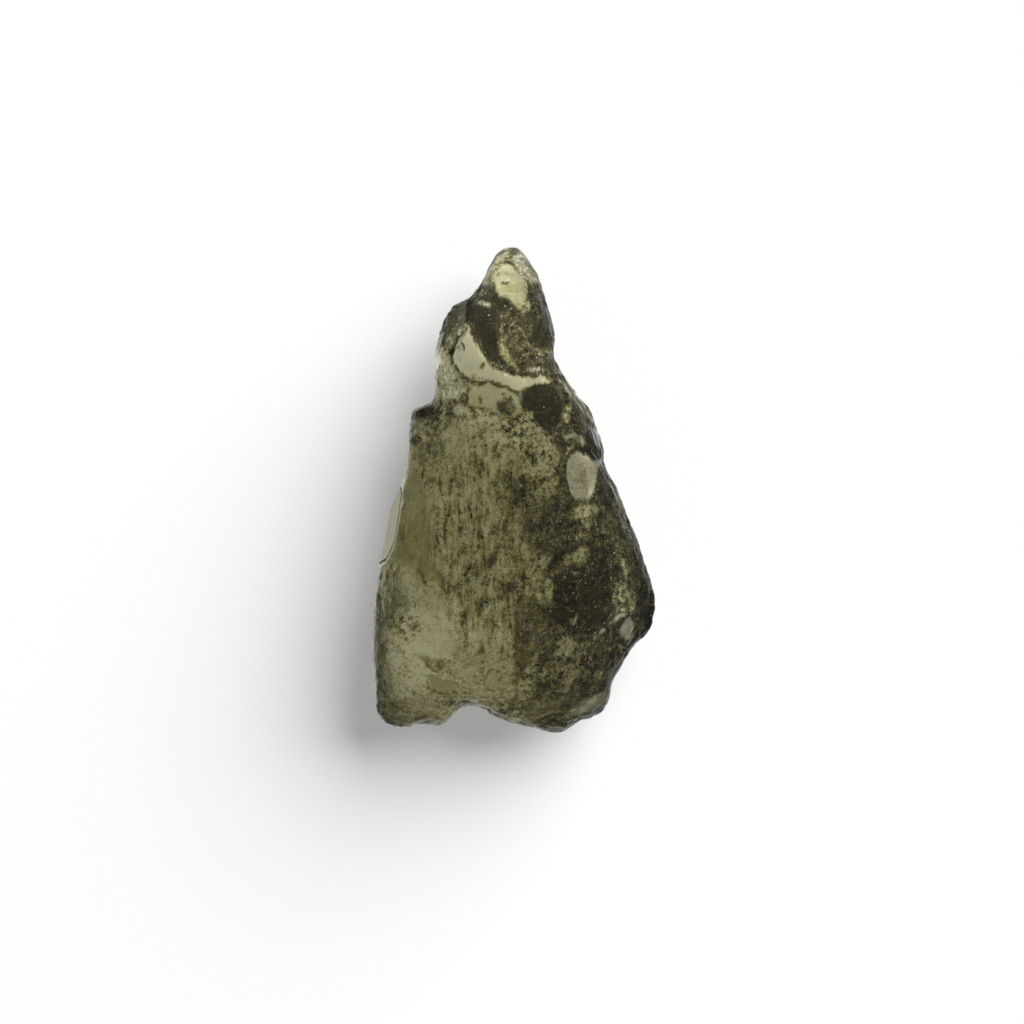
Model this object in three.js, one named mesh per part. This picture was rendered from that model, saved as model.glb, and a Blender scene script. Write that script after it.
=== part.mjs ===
// A raw moldavite: one piece of natural olive green glass, lying on its flat side.
// Millimetres, +Z up. X runs across the stone, +Y towards its pointed end.
// The origin is on the surface that the stone rests on, under the middle of its box.
import * as THREE from "three";
import { mergeVertices } from "three/addons/utils/BufferGeometryUtils.js";
import { ImprovedNoise } from "three/addons/math/ImprovedNoise.js";

const SPHERE_DETAIL = 20;
const RIM_SAMPLES = 1440;
const RIM_WAVES = 60;
const FASTEST_FADE = 5;

// The rim: the widest line round the stone, from the right side on round past the tip.
// Each point is x, y and its height over the surface that the stone rests on.
const RIM = [
  [8.1, -6.3, 3.4],
  [7.9, -5.4, 3.3],
  [7.5, -4.1, 3.2],
  [7.0, -2.7, 3.2],
  [6.5, -1.6, 3.2],
  [6.1, -0.5, 3.2],
  [5.9, 0.2, 3.2],
  [5.4, 0.9, 3.3],
  [5.1, 1.7, 3.3],
  [5.2, 2.3, 3.3],
  [4.9, 3.1, 3.3],
  [4.6, 4.0, 3.3],
  [4.3, 4.7, 3.3],
  [3.7, 5.3, 3.4],
  [3.1, 6.2, 3.4],
  [2.5, 7.1, 3.6],
  [2.2, 7.7, 3.7],
  [2.3, 8.6, 3.7],
  [2.3, 9.3, 3.7],
  [2.0, 10.2, 3.6],
  [1.7, 11.3, 3.5],
  [1.3, 12.4, 3.5],
  [0.8, 13.2, 3.4],
  [0.4, 13.8, 3.4],
  [-0.2, 14.0, 3.4],
  [-0.8, 13.8, 3.4],
  [-1.2, 13.3, 3.4],
  [-1.6, 12.5, 3.4],
  [-2.1, 11.6, 3.5],
  [-2.8, 10.9, 3.6],
  [-3.4, 10.6, 3.8],
  [-3.9, 9.8, 3.9],
  [-4.2, 9.0, 4.0],
  [-4.5, 8.3, 4.0],
  [-4.5, 7.3, 4.1],
  [-4.4, 6.7, 4.2],
  [-4.5, 5.7, 4.4],
  [-4.6, 5.0, 4.6],
  [-5.1, 4.7, 4.7],
  [-5.8, 4.7, 4.8],
  [-5.9, 4.1, 4.9],
  [-6.0, 3.2, 5.1],
  [-6.1, 1.9, 5.2],
  [-6.3, 0.8, 5.2],
  [-6.5, 0.1, 5.0],
  [-6.9, -0.6, 4.8],
  [-7.2, -1.7, 4.6],
  [-7.4, -2.9, 4.4],
  [-7.7, -4.2, 4.6],
  [-7.9, -5.6, 4.8],
  [-8.0, -7.2, 4.8],
  [-8.1, -8.9, 4.6],
  [-8.1, -10.4, 4.3],
  [-8.0, -11.7, 4.0],
  [-7.8, -12.8, 3.7],
  [-7.4, -13.4, 3.5],
  [-6.6, -13.6, 3.4],
  [-5.4, -13.5, 3.3],
  [-4.2, -13.6, 3.2],
  [-3.8, -13.3, 3.3],
  [-3.3, -12.7, 3.4],
  [-2.6, -12.4, 3.6],
  [-2.0, -12.5, 3.6],
  [-1.2, -13.0, 3.6],
  [-0.2, -13.4, 3.5],
  [1.1, -13.7, 3.4],
  [2.2, -14.0, 3.3],
  [3.0, -13.9, 3.2],
  [3.5, -13.4, 3.2],
  [4.5, -13.1, 3.2],
  [5.2, -12.6, 3.2],
  [5.5, -11.9, 3.2],
  [5.6, -11.1, 3.2],
  [6.2, -10.1, 3.2],
  [6.9, -9.0, 3.3],
  [7.7, -8.3, 3.3],
  [8.0, -7.4, 3.4],
];

// The broad broken faces of the upper side, for the body and for the spire at its pointed end.
// Each is a point on the face, and how the face climbs per mm in x and in y.
const BODY_FACES = [
  { name: "main face", at: [-3.0, -4.0, 8.4], slope: [0.1, 0.02] },
  { name: "right flank", at: [5.0, -4.0, 7.0], slope: [-0.6, 0.05] },
  { name: "right foot", at: [7.2, -5.5, 5.4], slope: [-1.3, 0.1] },
  { name: "upper right flank", at: [3.6, 3.4, 6.8], slope: [-0.7, -0.16] },
  { name: "lower right corner", at: [4.6, -10.8, 6.9], slope: [-0.45, 0.4] },
  { name: "lower end", at: [-1.0, -12.2, 7.3], slope: [0.02, 0.45] },
  { name: "lower left corner", at: [-6.6, -11.8, 7.1], slope: [0.26, 0.26] },
  { name: "left edge", at: [-6.6, -3.0, 7.6], slope: [0.55, 0.0] },
  { name: "left shoulder", at: [-5.0, 3.0, 7.3], slope: [0.42, -0.1] },
  { name: "upper end", at: [0.0, 6.3, 7.2], slope: [-0.22, -0.55] },
];
const SPIRE_FACES = [
  { name: "foot of the spire", at: [0.6, 6.9, 7.0], slope: [0.1, 0.75] },
  { name: "lower left of the spire", at: [-2.0, 8.0, 6.8], slope: [0.85, 0.45] },
  { name: "left side", at: [-2.4, 9.0, 6.6], slope: [0.55, -0.05] },
  { name: "right side", at: [1.3, 9.4, 7.0], slope: [-0.9, -0.1] },
  { name: "face by the tip", at: [-0.5, 12.0, 6.6], slope: [0.12, -0.42] },
];
const FACE_BLEND = 0.22;

// Shell-shaped chips and round pits in the upper side: centre, half sizes, turn in degrees, depth.
const HOLLOWS = [
  { name: "dark shell under the tip", at: [-1.0, 8.7], half: [1.0, 2.0], turn: 24, depth: 0.45 },
  { name: "left end of the neck", at: [-2.6, 7.9], half: [0.8, 1.7], turn: 26, depth: 0.45 },
  { name: "middle of the neck", at: [-0.7, 6.4], half: [1.7, 0.6], turn: -12, depth: 0.35 },
  { name: "right end of the neck", at: [1.5, 6.2], half: [1.1, 0.45], turn: 3, depth: 0.3 },
  { name: "right neck shell", at: [0.9, 8.2], half: [1.2, 1.2], turn: 0, depth: 0.35 },
  { name: "round shell on the shoulder", at: [0.1, 4.8], half: [1.1, 1.0], turn: 0, depth: 0.3 },
  { name: "dark bay beside it", at: [2.1, 4.2], half: [1.2, 1.8], turn: 12, depth: 0.45 },
  { name: "left shoulder dent", at: [-4.2, 4.4], half: [1.3, 0.9], turn: 0, depth: 0.4 },
  { name: "right chip", at: [3.9, 0.6], half: [0.85, 1.4], turn: -8, depth: 0.4 },
  { name: "bay in the ridge", at: [1.3, -0.6], half: [1.7, 1.9], turn: 30, depth: 0.45 },
  { name: "lower left shell", at: [-3.9, -9.3], half: [1.3, 1.1], turn: -24, depth: 0.45 },
  { name: "round pit", at: [-1.3, -11.0], half: [0.55, 0.7], turn: 0, depth: 0.35 },
  { name: "smooth hollow", at: [-5.6, -7.0], half: [1.3, 2.2], turn: 14, depth: 0.35 },
  { name: "bowl low on the right", at: [3.0, -9.8], half: [1.7, 1.5], turn: 0, depth: 0.45 },
  { name: "right edge window", at: [6.3, -7.9], half: [0.7, 1.1], turn: -30, depth: 0.4 },
  { name: "fold at the foot", at: [2.6, -12.7], half: [2.4, 0.55], turn: 22, depth: 0.4 },
  { name: "corner lobe dent", at: [-4.6, -12.6], half: [1.5, 0.6], turn: 0, depth: 0.4 },
  { name: "right flank bay", at: [5.2, -4.4], half: [1.1, 2.2], turn: 16, depth: 0.4 },
];

// Long flow grooves down the main face. They wander from side to side and fade out past their ends.
const GROOVE = {
  from: [-3.6, 1.5],
  to: [-0.6, -7.5],
  spread: 2.6,
  pitch: 0.95,
  depth: 0.16,
  wander: { along: 3.1, across: 0.4, salt: 7.3, width: 1.1 },
  fade: { reach: 1.15, fall: 1.6, soft: 0.6 },
};

// The pits that the soil etched all over the stone. A pit's own radius is a share of the radius.
const PITS = { spacing: 1.35, radius: 0.72, depth: 0.17, leastSize: 0.6, moreSize: 0.6 };
const SWELL = { size: 3.4, height: 0.22 };

// How much of the pits and swells the rim loses, and how quickly they come back away from it.
const RIM_CALM = { share: 0.85, fall: 12 };

// The underside: a low bowl, cut flat where the stone rests.
const UNDERSIDE = {
  lowest: -0.5,
  at: [-0.6, -4.4],
  rise: [0.028, 0.0105],
  swell: 0.45,
  size: 4.2,
  salt: 3.7,
};

// How square the stone is between its middle and its rim, above and below.
const SHOULDER = { above: 9.0, below: 6.0 };

const noise = new ImprovedNoise();

// The factors that scatter the cells' numbers: for x, y, z, the salt and the whole.
const SCATTER = { x: 127.1, y: 311.7, z: 74.7, salt: 53.3, whole: 43758.5453 };

// A repeatable number from 0 to 1 for a whole-number cell.
function cellValue(x, y, z, salt) {
  const turn = x * SCATTER.x + y * SCATTER.y + z * SCATTER.z + salt * SCATTER.salt;
  const mixed = Math.sin(turn) * SCATTER.whole;
  return mixed - Math.floor(mixed);
}

// How deep a point lies in the nearest pit, from 0 outside to 1 at its middle.
function pitShare(p) {
  const cell = [p.x, p.y, p.z].map((v) => Math.floor(v / PITS.spacing));
  let deepest = 0;
  for (let i = 0; i < 27; i++) {
    const step = [i % 3, Math.floor(i / 3) % 3, Math.floor(i / 9)];
    const c = cell.map((v, axis) => v + step[axis] - 1);
    const middle = new THREE.Vector3(
      (c[0] + cellValue(...c, 1)) * PITS.spacing,
      (c[1] + cellValue(...c, 2)) * PITS.spacing,
      (c[2] + cellValue(...c, 3)) * PITS.spacing,
    );
    const radius = PITS.radius * (PITS.leastSize + PITS.moreSize * cellValue(...c, 4));
    const away = p.distanceTo(middle) / radius;
    deepest = Math.max(deepest, 1 - away * away);
  }
  return deepest;
}

// The rim's waves: for each count of waves round the stone, how far x, y and height swing.
// The same waves, faded towards the middle, carry the rim's shape evenly inwards.
function rimWaves() {
  const curve = new THREE.CatmullRomCurve3(
    RIM.map((point) => new THREE.Vector3(...point)),
    true,
    "centripetal",
  );
  const points = curve.getSpacedPoints(RIM_SAMPLES).slice(0, -1);
  const waves = [];
  for (let count = 0; count <= RIM_WAVES; count++) {
    const cosine = new THREE.Vector3();
    const sine = new THREE.Vector3();
    const weight = (count === 0 ? 1 : 2) / points.length;
    points.forEach((point, i) => {
      const angle = (2 * Math.PI * count * i) / points.length;
      cosine.addScaledVector(point, weight * Math.cos(angle));
      sine.addScaledVector(point, weight * Math.sin(angle));
    });
    waves.push({ cosine, sine });
  }
  return waves;
}

const waves = rimWaves();

// Where the level sheet through the rim has a point: out is 0 in the middle and 1 on the rim.
function sheetPoint(out, angle) {
  const p = new THREE.Vector3();
  waves.forEach(({ cosine, sine }, count) => {
    const fade = out ** Math.min(count, FASTEST_FADE);
    p.addScaledVector(cosine, fade * Math.cos(count * angle));
    p.addScaledVector(sine, fade * Math.sin(count * angle));
  });
  return p;
}

// Height of a lump's broken faces at x, y: the lowest of them, with softened edges.
function lumpHeight(faces, x, y) {
  let sum = 0;
  for (const { at, slope } of faces) {
    const height = at[2] + (x - at[0]) * slope[0] + (y - at[1]) * slope[1];
    sum += Math.exp(-height / FACE_BLEND);
  }
  return -FACE_BLEND * Math.log(sum);
}

// Height of the upper side at x, y, before the chips: the body or the spire, whichever stands higher.
function faceHeight(x, y) {
  const body = Math.exp(lumpHeight(BODY_FACES, x, y) / FACE_BLEND);
  const spire = Math.exp(lumpHeight(SPIRE_FACES, x, y) / FACE_BLEND);
  return FACE_BLEND * Math.log(body + spire);
}

// How much the chips and round pits take off at x, y.
function hollowDepth(x, y) {
  let depth = 0;
  for (const hollow of HOLLOWS) {
    const turn = THREE.MathUtils.degToRad(hollow.turn);
    const dx = x - hollow.at[0];
    const dy = y - hollow.at[1];
    const along = (dx * Math.cos(turn) + dy * Math.sin(turn)) / hollow.half[0];
    const across = (-dx * Math.sin(turn) + dy * Math.cos(turn)) / hollow.half[1];
    const inside = 1 - along * along - across * across;
    depth = Math.max(depth, hollow.depth * inside);
  }
  return depth;
}

// How much the flow grooves take off at x, y.
function grooveDepth(x, y) {
  const start = new THREE.Vector2(...GROOVE.from);
  const run = new THREE.Vector2(...GROOVE.to).sub(start);
  const point = new THREE.Vector2(x, y).sub(start);
  const along = point.dot(run) / run.lengthSq();
  const across = point.cross(run) / run.length();
  const { wander, fade } = GROOVE;
  const ends = THREE.MathUtils.smoothstep(fade.reach - Math.abs(along - 0.5) * fade.fall, 0, fade.soft);
  const share = ends * Math.exp(-((across / GROOVE.spread) ** 2));
  const shift = wander.width * noise.noise(along * wander.along, across * wander.across, wander.salt);
  return GROOVE.depth * share * (1 + Math.cos(((across + shift) / GROOVE.pitch) * 2 * Math.PI));
}

// Where a direction from the stone's middle meets its smooth form, before the pits.
function formPoint(direction) {
  const out = Math.min(Math.hypot(direction.x, direction.y), 1);
  const { x, y, z: height } = sheetPoint(out, Math.atan2(direction.y, direction.x));
  if (direction.z >= 0) {
    const share = Math.sqrt(1 - out ** SHOULDER.above);
    const top = faceHeight(x, y) - hollowDepth(x, y) - grooveDepth(x, y);
    return new THREE.Vector3(x, y, height + (top - height) * share);
  }
  const share = Math.sqrt(1 - out ** SHOULDER.below);
  const { lowest, at, rise, size, salt } = UNDERSIDE;
  const bowl = rise[0] * (x - at[0]) ** 2 + rise[1] * (y - at[1]) ** 2;
  const swell = UNDERSIDE.swell * noise.noise(x / size, y / size, salt);
  const base = lowest + bowl + swell;
  return new THREE.Vector3(x, y, height + (base - height) * share);
}

// The stone: a sphere's even triangles moved to the form, pitted along its normals and cut flat below.
function stoneGeometry() {
  const sphere = new THREE.IcosahedronGeometry(1, SPHERE_DETAIL);
  sphere.deleteAttribute("normal");
  sphere.deleteAttribute("uv");
  const stone = mergeVertices(sphere, 1e-5);
  const position = stone.getAttribute("position");
  const relief = [];
  for (let i = 0; i < position.count; i++) {
    const direction = new THREE.Vector3().fromBufferAttribute(position, i).normalize();
    const p = formPoint(direction);
    position.setXYZ(i, p.x, p.y, p.z);
    relief.push(1 - RIM_CALM.share * Math.hypot(direction.x, direction.y) ** RIM_CALM.fall);
  }
  stone.computeVertexNormals();
  const normals = stone.getAttribute("normal");
  for (let i = 0; i < position.count; i++) {
    const p = new THREE.Vector3().fromBufferAttribute(position, i);
    const normal = new THREE.Vector3().fromBufferAttribute(normals, i);
    const swell = SWELL.height * noise.noise(p.x / SWELL.size, p.y / SWELL.size, p.z / SWELL.size);
    p.addScaledVector(normal, relief[i] * (swell - PITS.depth * pitShare(p)));
    position.setXYZ(i, p.x, p.y, Math.max(p.z, 0));
  }
  stone.computeVertexNormals();
  return stone;
}

const glass = new THREE.MeshStandardMaterial({ color: 0x5b5837, roughness: 0.22, metalness: 0.0 });
const moldavite = new THREE.Mesh(stoneGeometry(), glass);
moldavite.name = "moldavite";

const stone = new THREE.Group();
stone.add(moldavite);

export default stone;
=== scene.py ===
"""A raw moldavite on a pale surface, seen from straight above.

It is one piece of see-through olive green natural glass. All places are millimetres in the part's own frame,
+X to the right of the stone, +Y towards its pointed end and +Z up, until a mesh is finished in metres.
"""

import logging
import math
from collections.abc import Callable, Sequence
from dataclasses import dataclass, field
from enum import Enum
from typing import Protocol

import bmesh
import bpy
import numpy as np
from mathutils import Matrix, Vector, noise

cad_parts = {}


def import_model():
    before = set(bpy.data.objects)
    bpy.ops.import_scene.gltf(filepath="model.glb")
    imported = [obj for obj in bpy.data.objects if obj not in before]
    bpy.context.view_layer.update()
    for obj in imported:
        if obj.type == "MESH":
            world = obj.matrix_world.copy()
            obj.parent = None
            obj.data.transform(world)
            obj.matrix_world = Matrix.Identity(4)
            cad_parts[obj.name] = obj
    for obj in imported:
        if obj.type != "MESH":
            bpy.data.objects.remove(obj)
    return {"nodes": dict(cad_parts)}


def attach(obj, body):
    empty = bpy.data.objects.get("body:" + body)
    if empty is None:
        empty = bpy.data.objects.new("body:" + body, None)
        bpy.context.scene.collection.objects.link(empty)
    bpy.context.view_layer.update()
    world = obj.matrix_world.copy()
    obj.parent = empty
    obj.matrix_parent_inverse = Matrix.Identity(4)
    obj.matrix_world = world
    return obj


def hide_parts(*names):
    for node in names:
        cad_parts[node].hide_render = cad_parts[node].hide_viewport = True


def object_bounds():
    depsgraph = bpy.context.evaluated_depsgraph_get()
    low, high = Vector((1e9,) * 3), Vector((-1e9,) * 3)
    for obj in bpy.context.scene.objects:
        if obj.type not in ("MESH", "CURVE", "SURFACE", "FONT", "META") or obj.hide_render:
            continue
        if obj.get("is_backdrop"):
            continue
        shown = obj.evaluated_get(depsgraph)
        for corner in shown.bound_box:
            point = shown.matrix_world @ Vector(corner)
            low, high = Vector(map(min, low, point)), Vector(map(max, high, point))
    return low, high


LOG = logging.getLogger("moldavite")
MM = 0.001

# Where a corner's two cuts lie along a side, and what stands in for the rise of a level side
CORNER_CUTS = (0.25, 0.75)
NO_RISE = 1e-9

Point = tuple[float, float]
Colour = tuple[float, float, float, float]

# The thin clear lip that stands out on the left
LIP: Sequence[Point] = (
    (-6.3, 0.3), (-6.9, 0.1), (-7.4, -1.4), (-7.7, -2.9),
    (-8.0, -4.3), (-7.3, -4.2), (-6.75, -2.9), (-6.5, -1.2),
)


class Tone(Enum):
    """How much of the light that plain glass would pass comes through a place on the skin: a tint that
    mostly stands for painted shade where it is dark and painted light where it is clear.
    """

    BLACK = 0.03
    DARK = 0.14
    DEEP = 0.32
    OLIVE = 0.51
    PALE = 0.77
    CLEAR = 1.0


class Surface(Enum):
    """How a place on the skin is finished: its share of polish, of frosty skin with painted sheen, of small
    beads and of painted sparkles.
    """

    ETCHED = (0.0, 0.0, 0.0, 0.14)
    MATT = (0.55, 0.0, 0.0, 0.03)
    FROSTED = (0.3, 1.0, 0.0, 0.2)
    BEADED = (0.35, 0.3, 1.0, 0.5)
    SPARKLING = (0.0, 0.1, 0.0, 0.8)
    SMOOTH = (0.88, 0.0, 0.0, 0.02)
    POLISHED = (1.0, 0.0, 0.0, 0.0)


def smooth(values: np.ndarray) -> np.ndarray:
    """Values held to the range from 0 to 1, with a soft start and end."""
    held = np.clip(values, 0.0, 1.0)
    return held * held * (3 - 2 * held)


def sampled(places: np.ndarray, value: Callable[[Vector], float]) -> np.ndarray:
    """A number for each place, worked out one place at a time."""
    return np.array([value(Vector(place)) for place in places])


def swirl(places: np.ndarray, size: float, salt: float = 0.0) -> np.ndarray:
    """Soft noise from -1 to 1.

    Args:
        places: Points in millimetres, one row each.
        size: How large its lumps are, in millimetres.
        salt: A shift that makes another pattern of the same kind.

    Returns:
        One number for each place.
    """
    return sampled(places / size + salt, noise.noise)


def pits(places: np.ndarray, spacing: float, radius: float, salt: float = 0.0) -> np.ndarray:
    """Round pits scattered in space.

    Args:
        places: Points in millimetres, one row each.
        spacing: How far apart the pits lie.
        radius: The radius of a pit, as a share of the spacing.
        salt: A shift that makes another pattern of the same kind.

    Returns:
        For each place, 0 outside the pits, rising to 1 at the middle of one.
    """
    away = sampled(places / spacing + salt, lambda place: noise.voronoi(place)[0][0])
    return np.clip(1 - (away / radius) ** 2, 0.0, 1.0)


class Shape(Protocol):
    """A shape drawn on the upper side."""

    def inside(self, places: np.ndarray) -> np.ndarray:
        """How far inside each place lies, in millimetres, and negative outside."""


@dataclass(frozen=True)
class Oval:
    """An oval.

    Args:
        at: Its middle.
        half: Half its width and half its length.
        turn: How far it is turned to the left, in degrees.
    """

    at: Point
    half: Point
    turn: float = 0.0

    def inside(self, places: np.ndarray) -> np.ndarray:
        """Measures each place against the edge.

        Args:
            places: Points in millimetres, one row each.

        Returns:
            How far inside each place lies, in millimetres, and negative outside.
        """
        turn = math.radians(self.turn)
        dx = places[:, 0] - self.at[0]
        dy = places[:, 1] - self.at[1]
        along = (dx * math.cos(turn) + dy * math.sin(turn)) / self.half[0]
        across = (-dx * math.sin(turn) + dy * math.cos(turn)) / self.half[1]
        return (1 - np.hypot(along, across)) * min(self.half)


def stretch_distance(places: np.ndarray, start: Point, end: Point) -> np.ndarray:
    """How far each place is from a straight stretch, seen from above.

    Args:
        places: Points in millimetres, one row each.
        start: Where the stretch starts.
        end: Where it ends.

    Returns:
        One distance for each place, in millimetres.
    """
    sx, sy = start
    ex, ey = end
    run = (ex - sx) ** 2 + (ey - sy) ** 2
    dx = places[:, 0] - sx
    dy = places[:, 1] - sy
    share = np.clip((dx * (ex - sx) + dy * (ey - sy)) / run, 0.0, 1.0)
    return np.hypot(dx - share * (ex - sx), dy - share * (ey - sy))


@dataclass(frozen=True)
class Trace:
    """A line of straight stretches with a width.

    Args:
        points: The points that it runs through.
        width: How wide it is.
    """

    points: Sequence[Point]
    width: float

    def inside(self, places: np.ndarray) -> np.ndarray:
        """Measures each place against the edge.

        Args:
            places: Points in millimetres, one row each.

        Returns:
            How far inside each place lies, in millimetres, and negative outside.
        """
        nearest = np.full(len(places), np.inf)
        for start, end in zip(self.points, self.points[1:]):
            nearest = np.minimum(nearest, stretch_distance(places, start, end))
        return self.width / 2 - nearest


@dataclass(frozen=True)
class Outline:
    """A closed shape with rounded corners.

    Args:
        points: Its corners, in order.
        rounds: How many times its corners are cut to round them.
    """

    points: Sequence[Point]
    rounds: int = 2

    def corners(self) -> list[Point]:
        """Cuts its corners to round them.

        Returns:
            The corners after the cuts, in order.
        """
        corners = list(self.points)
        for _ in range(self.rounds):
            cut = []
            for (ax, ay), (bx, by) in zip(corners, corners[1:] + corners[:1]):
                for share in CORNER_CUTS:
                    cut.append(((1 - share) * ax + share * bx, (1 - share) * ay + share * by))
            corners = cut
        return corners

    def inside(self, places: np.ndarray) -> np.ndarray:
        """Measures each place against the edge.

        Args:
            places: Points in millimetres, one row each.

        Returns:
            How far inside each place lies, in millimetres, and negative outside.
        """
        corners = self.corners()
        nearest = np.full(len(places), np.inf)
        odd = np.zeros(len(places), bool)
        for start, end in zip(corners, corners[1:] + corners[:1]):
            nearest = np.minimum(nearest, stretch_distance(places, start, end))
            spans = (start[1] > places[:, 1]) != (end[1] > places[:, 1])
            rise = end[1] - start[1] or NO_RISE
            crossing = start[0] + (places[:, 1] - start[1]) / rise * (end[0] - start[0])
            odd ^= spans & (places[:, 0] < crossing)
        return np.where(odd, nearest, -nearest)


@dataclass(frozen=True)
class Mark:
    """One feature of the upper side that can be pointed at. Most marks paint into the skin's tint the shade
    and light that the glass shows; a few, such as the white scratches, are the stone's own marks.

    Args:
        name: What it is.
        shape: Where it is, seen from above.
        tone: How much light it lets through, as a tint that mostly stands for painted shade and light.
        surface: How it is finished, or None to keep the finish that is there.
        edge: How wide its soft edge is.
        sink: How deep it lies under the skin round it.
        rim: How dark the painted shade of the hairline round it is, from 0 to 1.
        weight: How strongly it counts, from 0 to 1.
        through: Whether the underside beneath it is tinted clear too, painted light that makes the mark look
            brighter.
    """

    name: str
    shape: Shape
    tone: Tone
    surface: Surface | None = None
    edge: float = 0.3
    sink: float = 0.0
    rim: float = 0.0
    weight: float = 1.0
    through: bool = False


@dataclass
class Skin:
    """What the skin is like at each vertex of the stone.

    Args:
        places: The vertices in millimetres, one row each.
        outward: The way out of the stone at each vertex.
        upper: 1 on the upper side, falling to 0 on the underside.
        tone: How much light the skin lets through, as a tint that mostly stands for painted shade and light.
        polish: How smooth it is.
        frost_and_sheen: How much white lies on it, partly frosty skin and partly painted sheen.
        beads: How much of it is beads.
        painted_glints: How many painted sparkles it has.
        streaks: How strongly it is streaked.
        lift: How far each vertex moves out, in millimetres.
    """

    # How wide the painted-shade hairline round a window is, and how far past a mark the clear underside,
    # painted light, reaches
    RIM_WIDTH = 0.09
    SPILL = 1.2
    # The bare underside, tinted paler than the upper side as painted light, and where the upper side gives
    # way to it
    UNDER_TONE = 0.8
    UNDER_POLISH = 0.6
    TURN_LOW = -0.1
    TURN_SPAN = 0.5
    # The painted shade just inside the outline on the right, and the painted light of the clear edge on the
    # left, by how far sideways the skin looks
    EDGE_SHADE = 0.5
    SHADE_START = 0.94
    SHADE_SPAN = 0.05
    PAINTED_LIGHT_START = 0.98
    PAINTED_LIGHT_SPAN = 0.015

    places: np.ndarray
    outward: np.ndarray
    upper: np.ndarray = field(init=False)
    tone: np.ndarray = field(init=False)
    polish: np.ndarray = field(init=False)
    frost_and_sheen: np.ndarray = field(init=False)
    beads: np.ndarray = field(init=False)
    painted_glints: np.ndarray = field(init=False)
    streaks: np.ndarray = field(init=False)
    lift: np.ndarray = field(init=False)

    def __post_init__(self) -> None:
        """Starts with bare etched glass all over, tinted paler on the underside as painted light."""
        count = len(self.places)
        self.upper = smooth(0.5 + (self.outward[:, 2] - self.TURN_LOW) / self.TURN_SPAN)
        self.tone = self.UNDER_TONE + (Tone.OLIVE.value - self.UNDER_TONE) * self.upper
        self.polish = self.UNDER_POLISH * (1 - self.upper)
        self.frost_and_sheen = np.zeros(count)
        self.beads = np.zeros(count)
        self.painted_glints = np.full(count, Surface.ETCHED.value[3])
        self.streaks = np.zeros(count)
        self.lift = np.zeros(count)

    def lay(self, mark: Mark, ragged: np.ndarray) -> None:
        """Adds a mark over what is there.

        Args:
            mark: The mark.
            ragged: The vertices, shifted a little so that no edge is a clean curve.
        """
        inside = mark.shape.inside(ragged)
        covered = smooth(0.5 + inside / mark.edge) * mark.weight
        share = covered * self.upper
        self.tone += (mark.tone.value - self.tone) * share
        if mark.surface is not None:
            polish, frost_and_sheen, beads, painted_glints = mark.surface.value
            self.polish += (polish - self.polish) * share
            self.frost_and_sheen += (frost_and_sheen - self.frost_and_sheen) * share
            self.beads += (beads - self.beads) * share
            self.painted_glints += (painted_glints - self.painted_glints) * share
        # Painted light: the underside beneath the mark, and a little past it, is tinted clear and made
        # smooth.
        if mark.through:
            beneath = smooth(0.5 + (inside + self.SPILL) / self.SPILL) * (1 - self.upper)
            self.tone += (Tone.CLEAR.value - self.tone) * beneath
            self.polish += (1 - self.polish) * beneath
        # Painted shade: a dark hairline round the mark.
        if mark.rim:
            hairline = np.exp(-(((inside + mark.edge / 2) / self.RIM_WIDTH) ** 2))
            self.tone *= 1 - mark.rim * hairline * self.upper
        self.lift -= mark.sink * covered * self.upper

    def outline(self) -> None:
        """Paints shade just inside the stone's outline on the right, and paints light by clearing its
        outermost edge on the left.
        """
        sideways = np.hypot(self.outward[:, 0], self.outward[:, 1])
        right = smooth(0.5 + 2 * self.outward[:, 0])
        shade = smooth((sideways - self.SHADE_START) / self.SHADE_SPAN) * right
        self.tone *= 1 - self.EDGE_SHADE * shade * (1 - self.polish) * (1 - self.beads)
        edge = smooth((sideways - self.PAINTED_LIGHT_START) / self.PAINTED_LIGHT_SPAN) * smooth(-2 * self.outward[:, 0])
        self.tone += (Tone.CLEAR.value - self.tone) * edge


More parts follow.
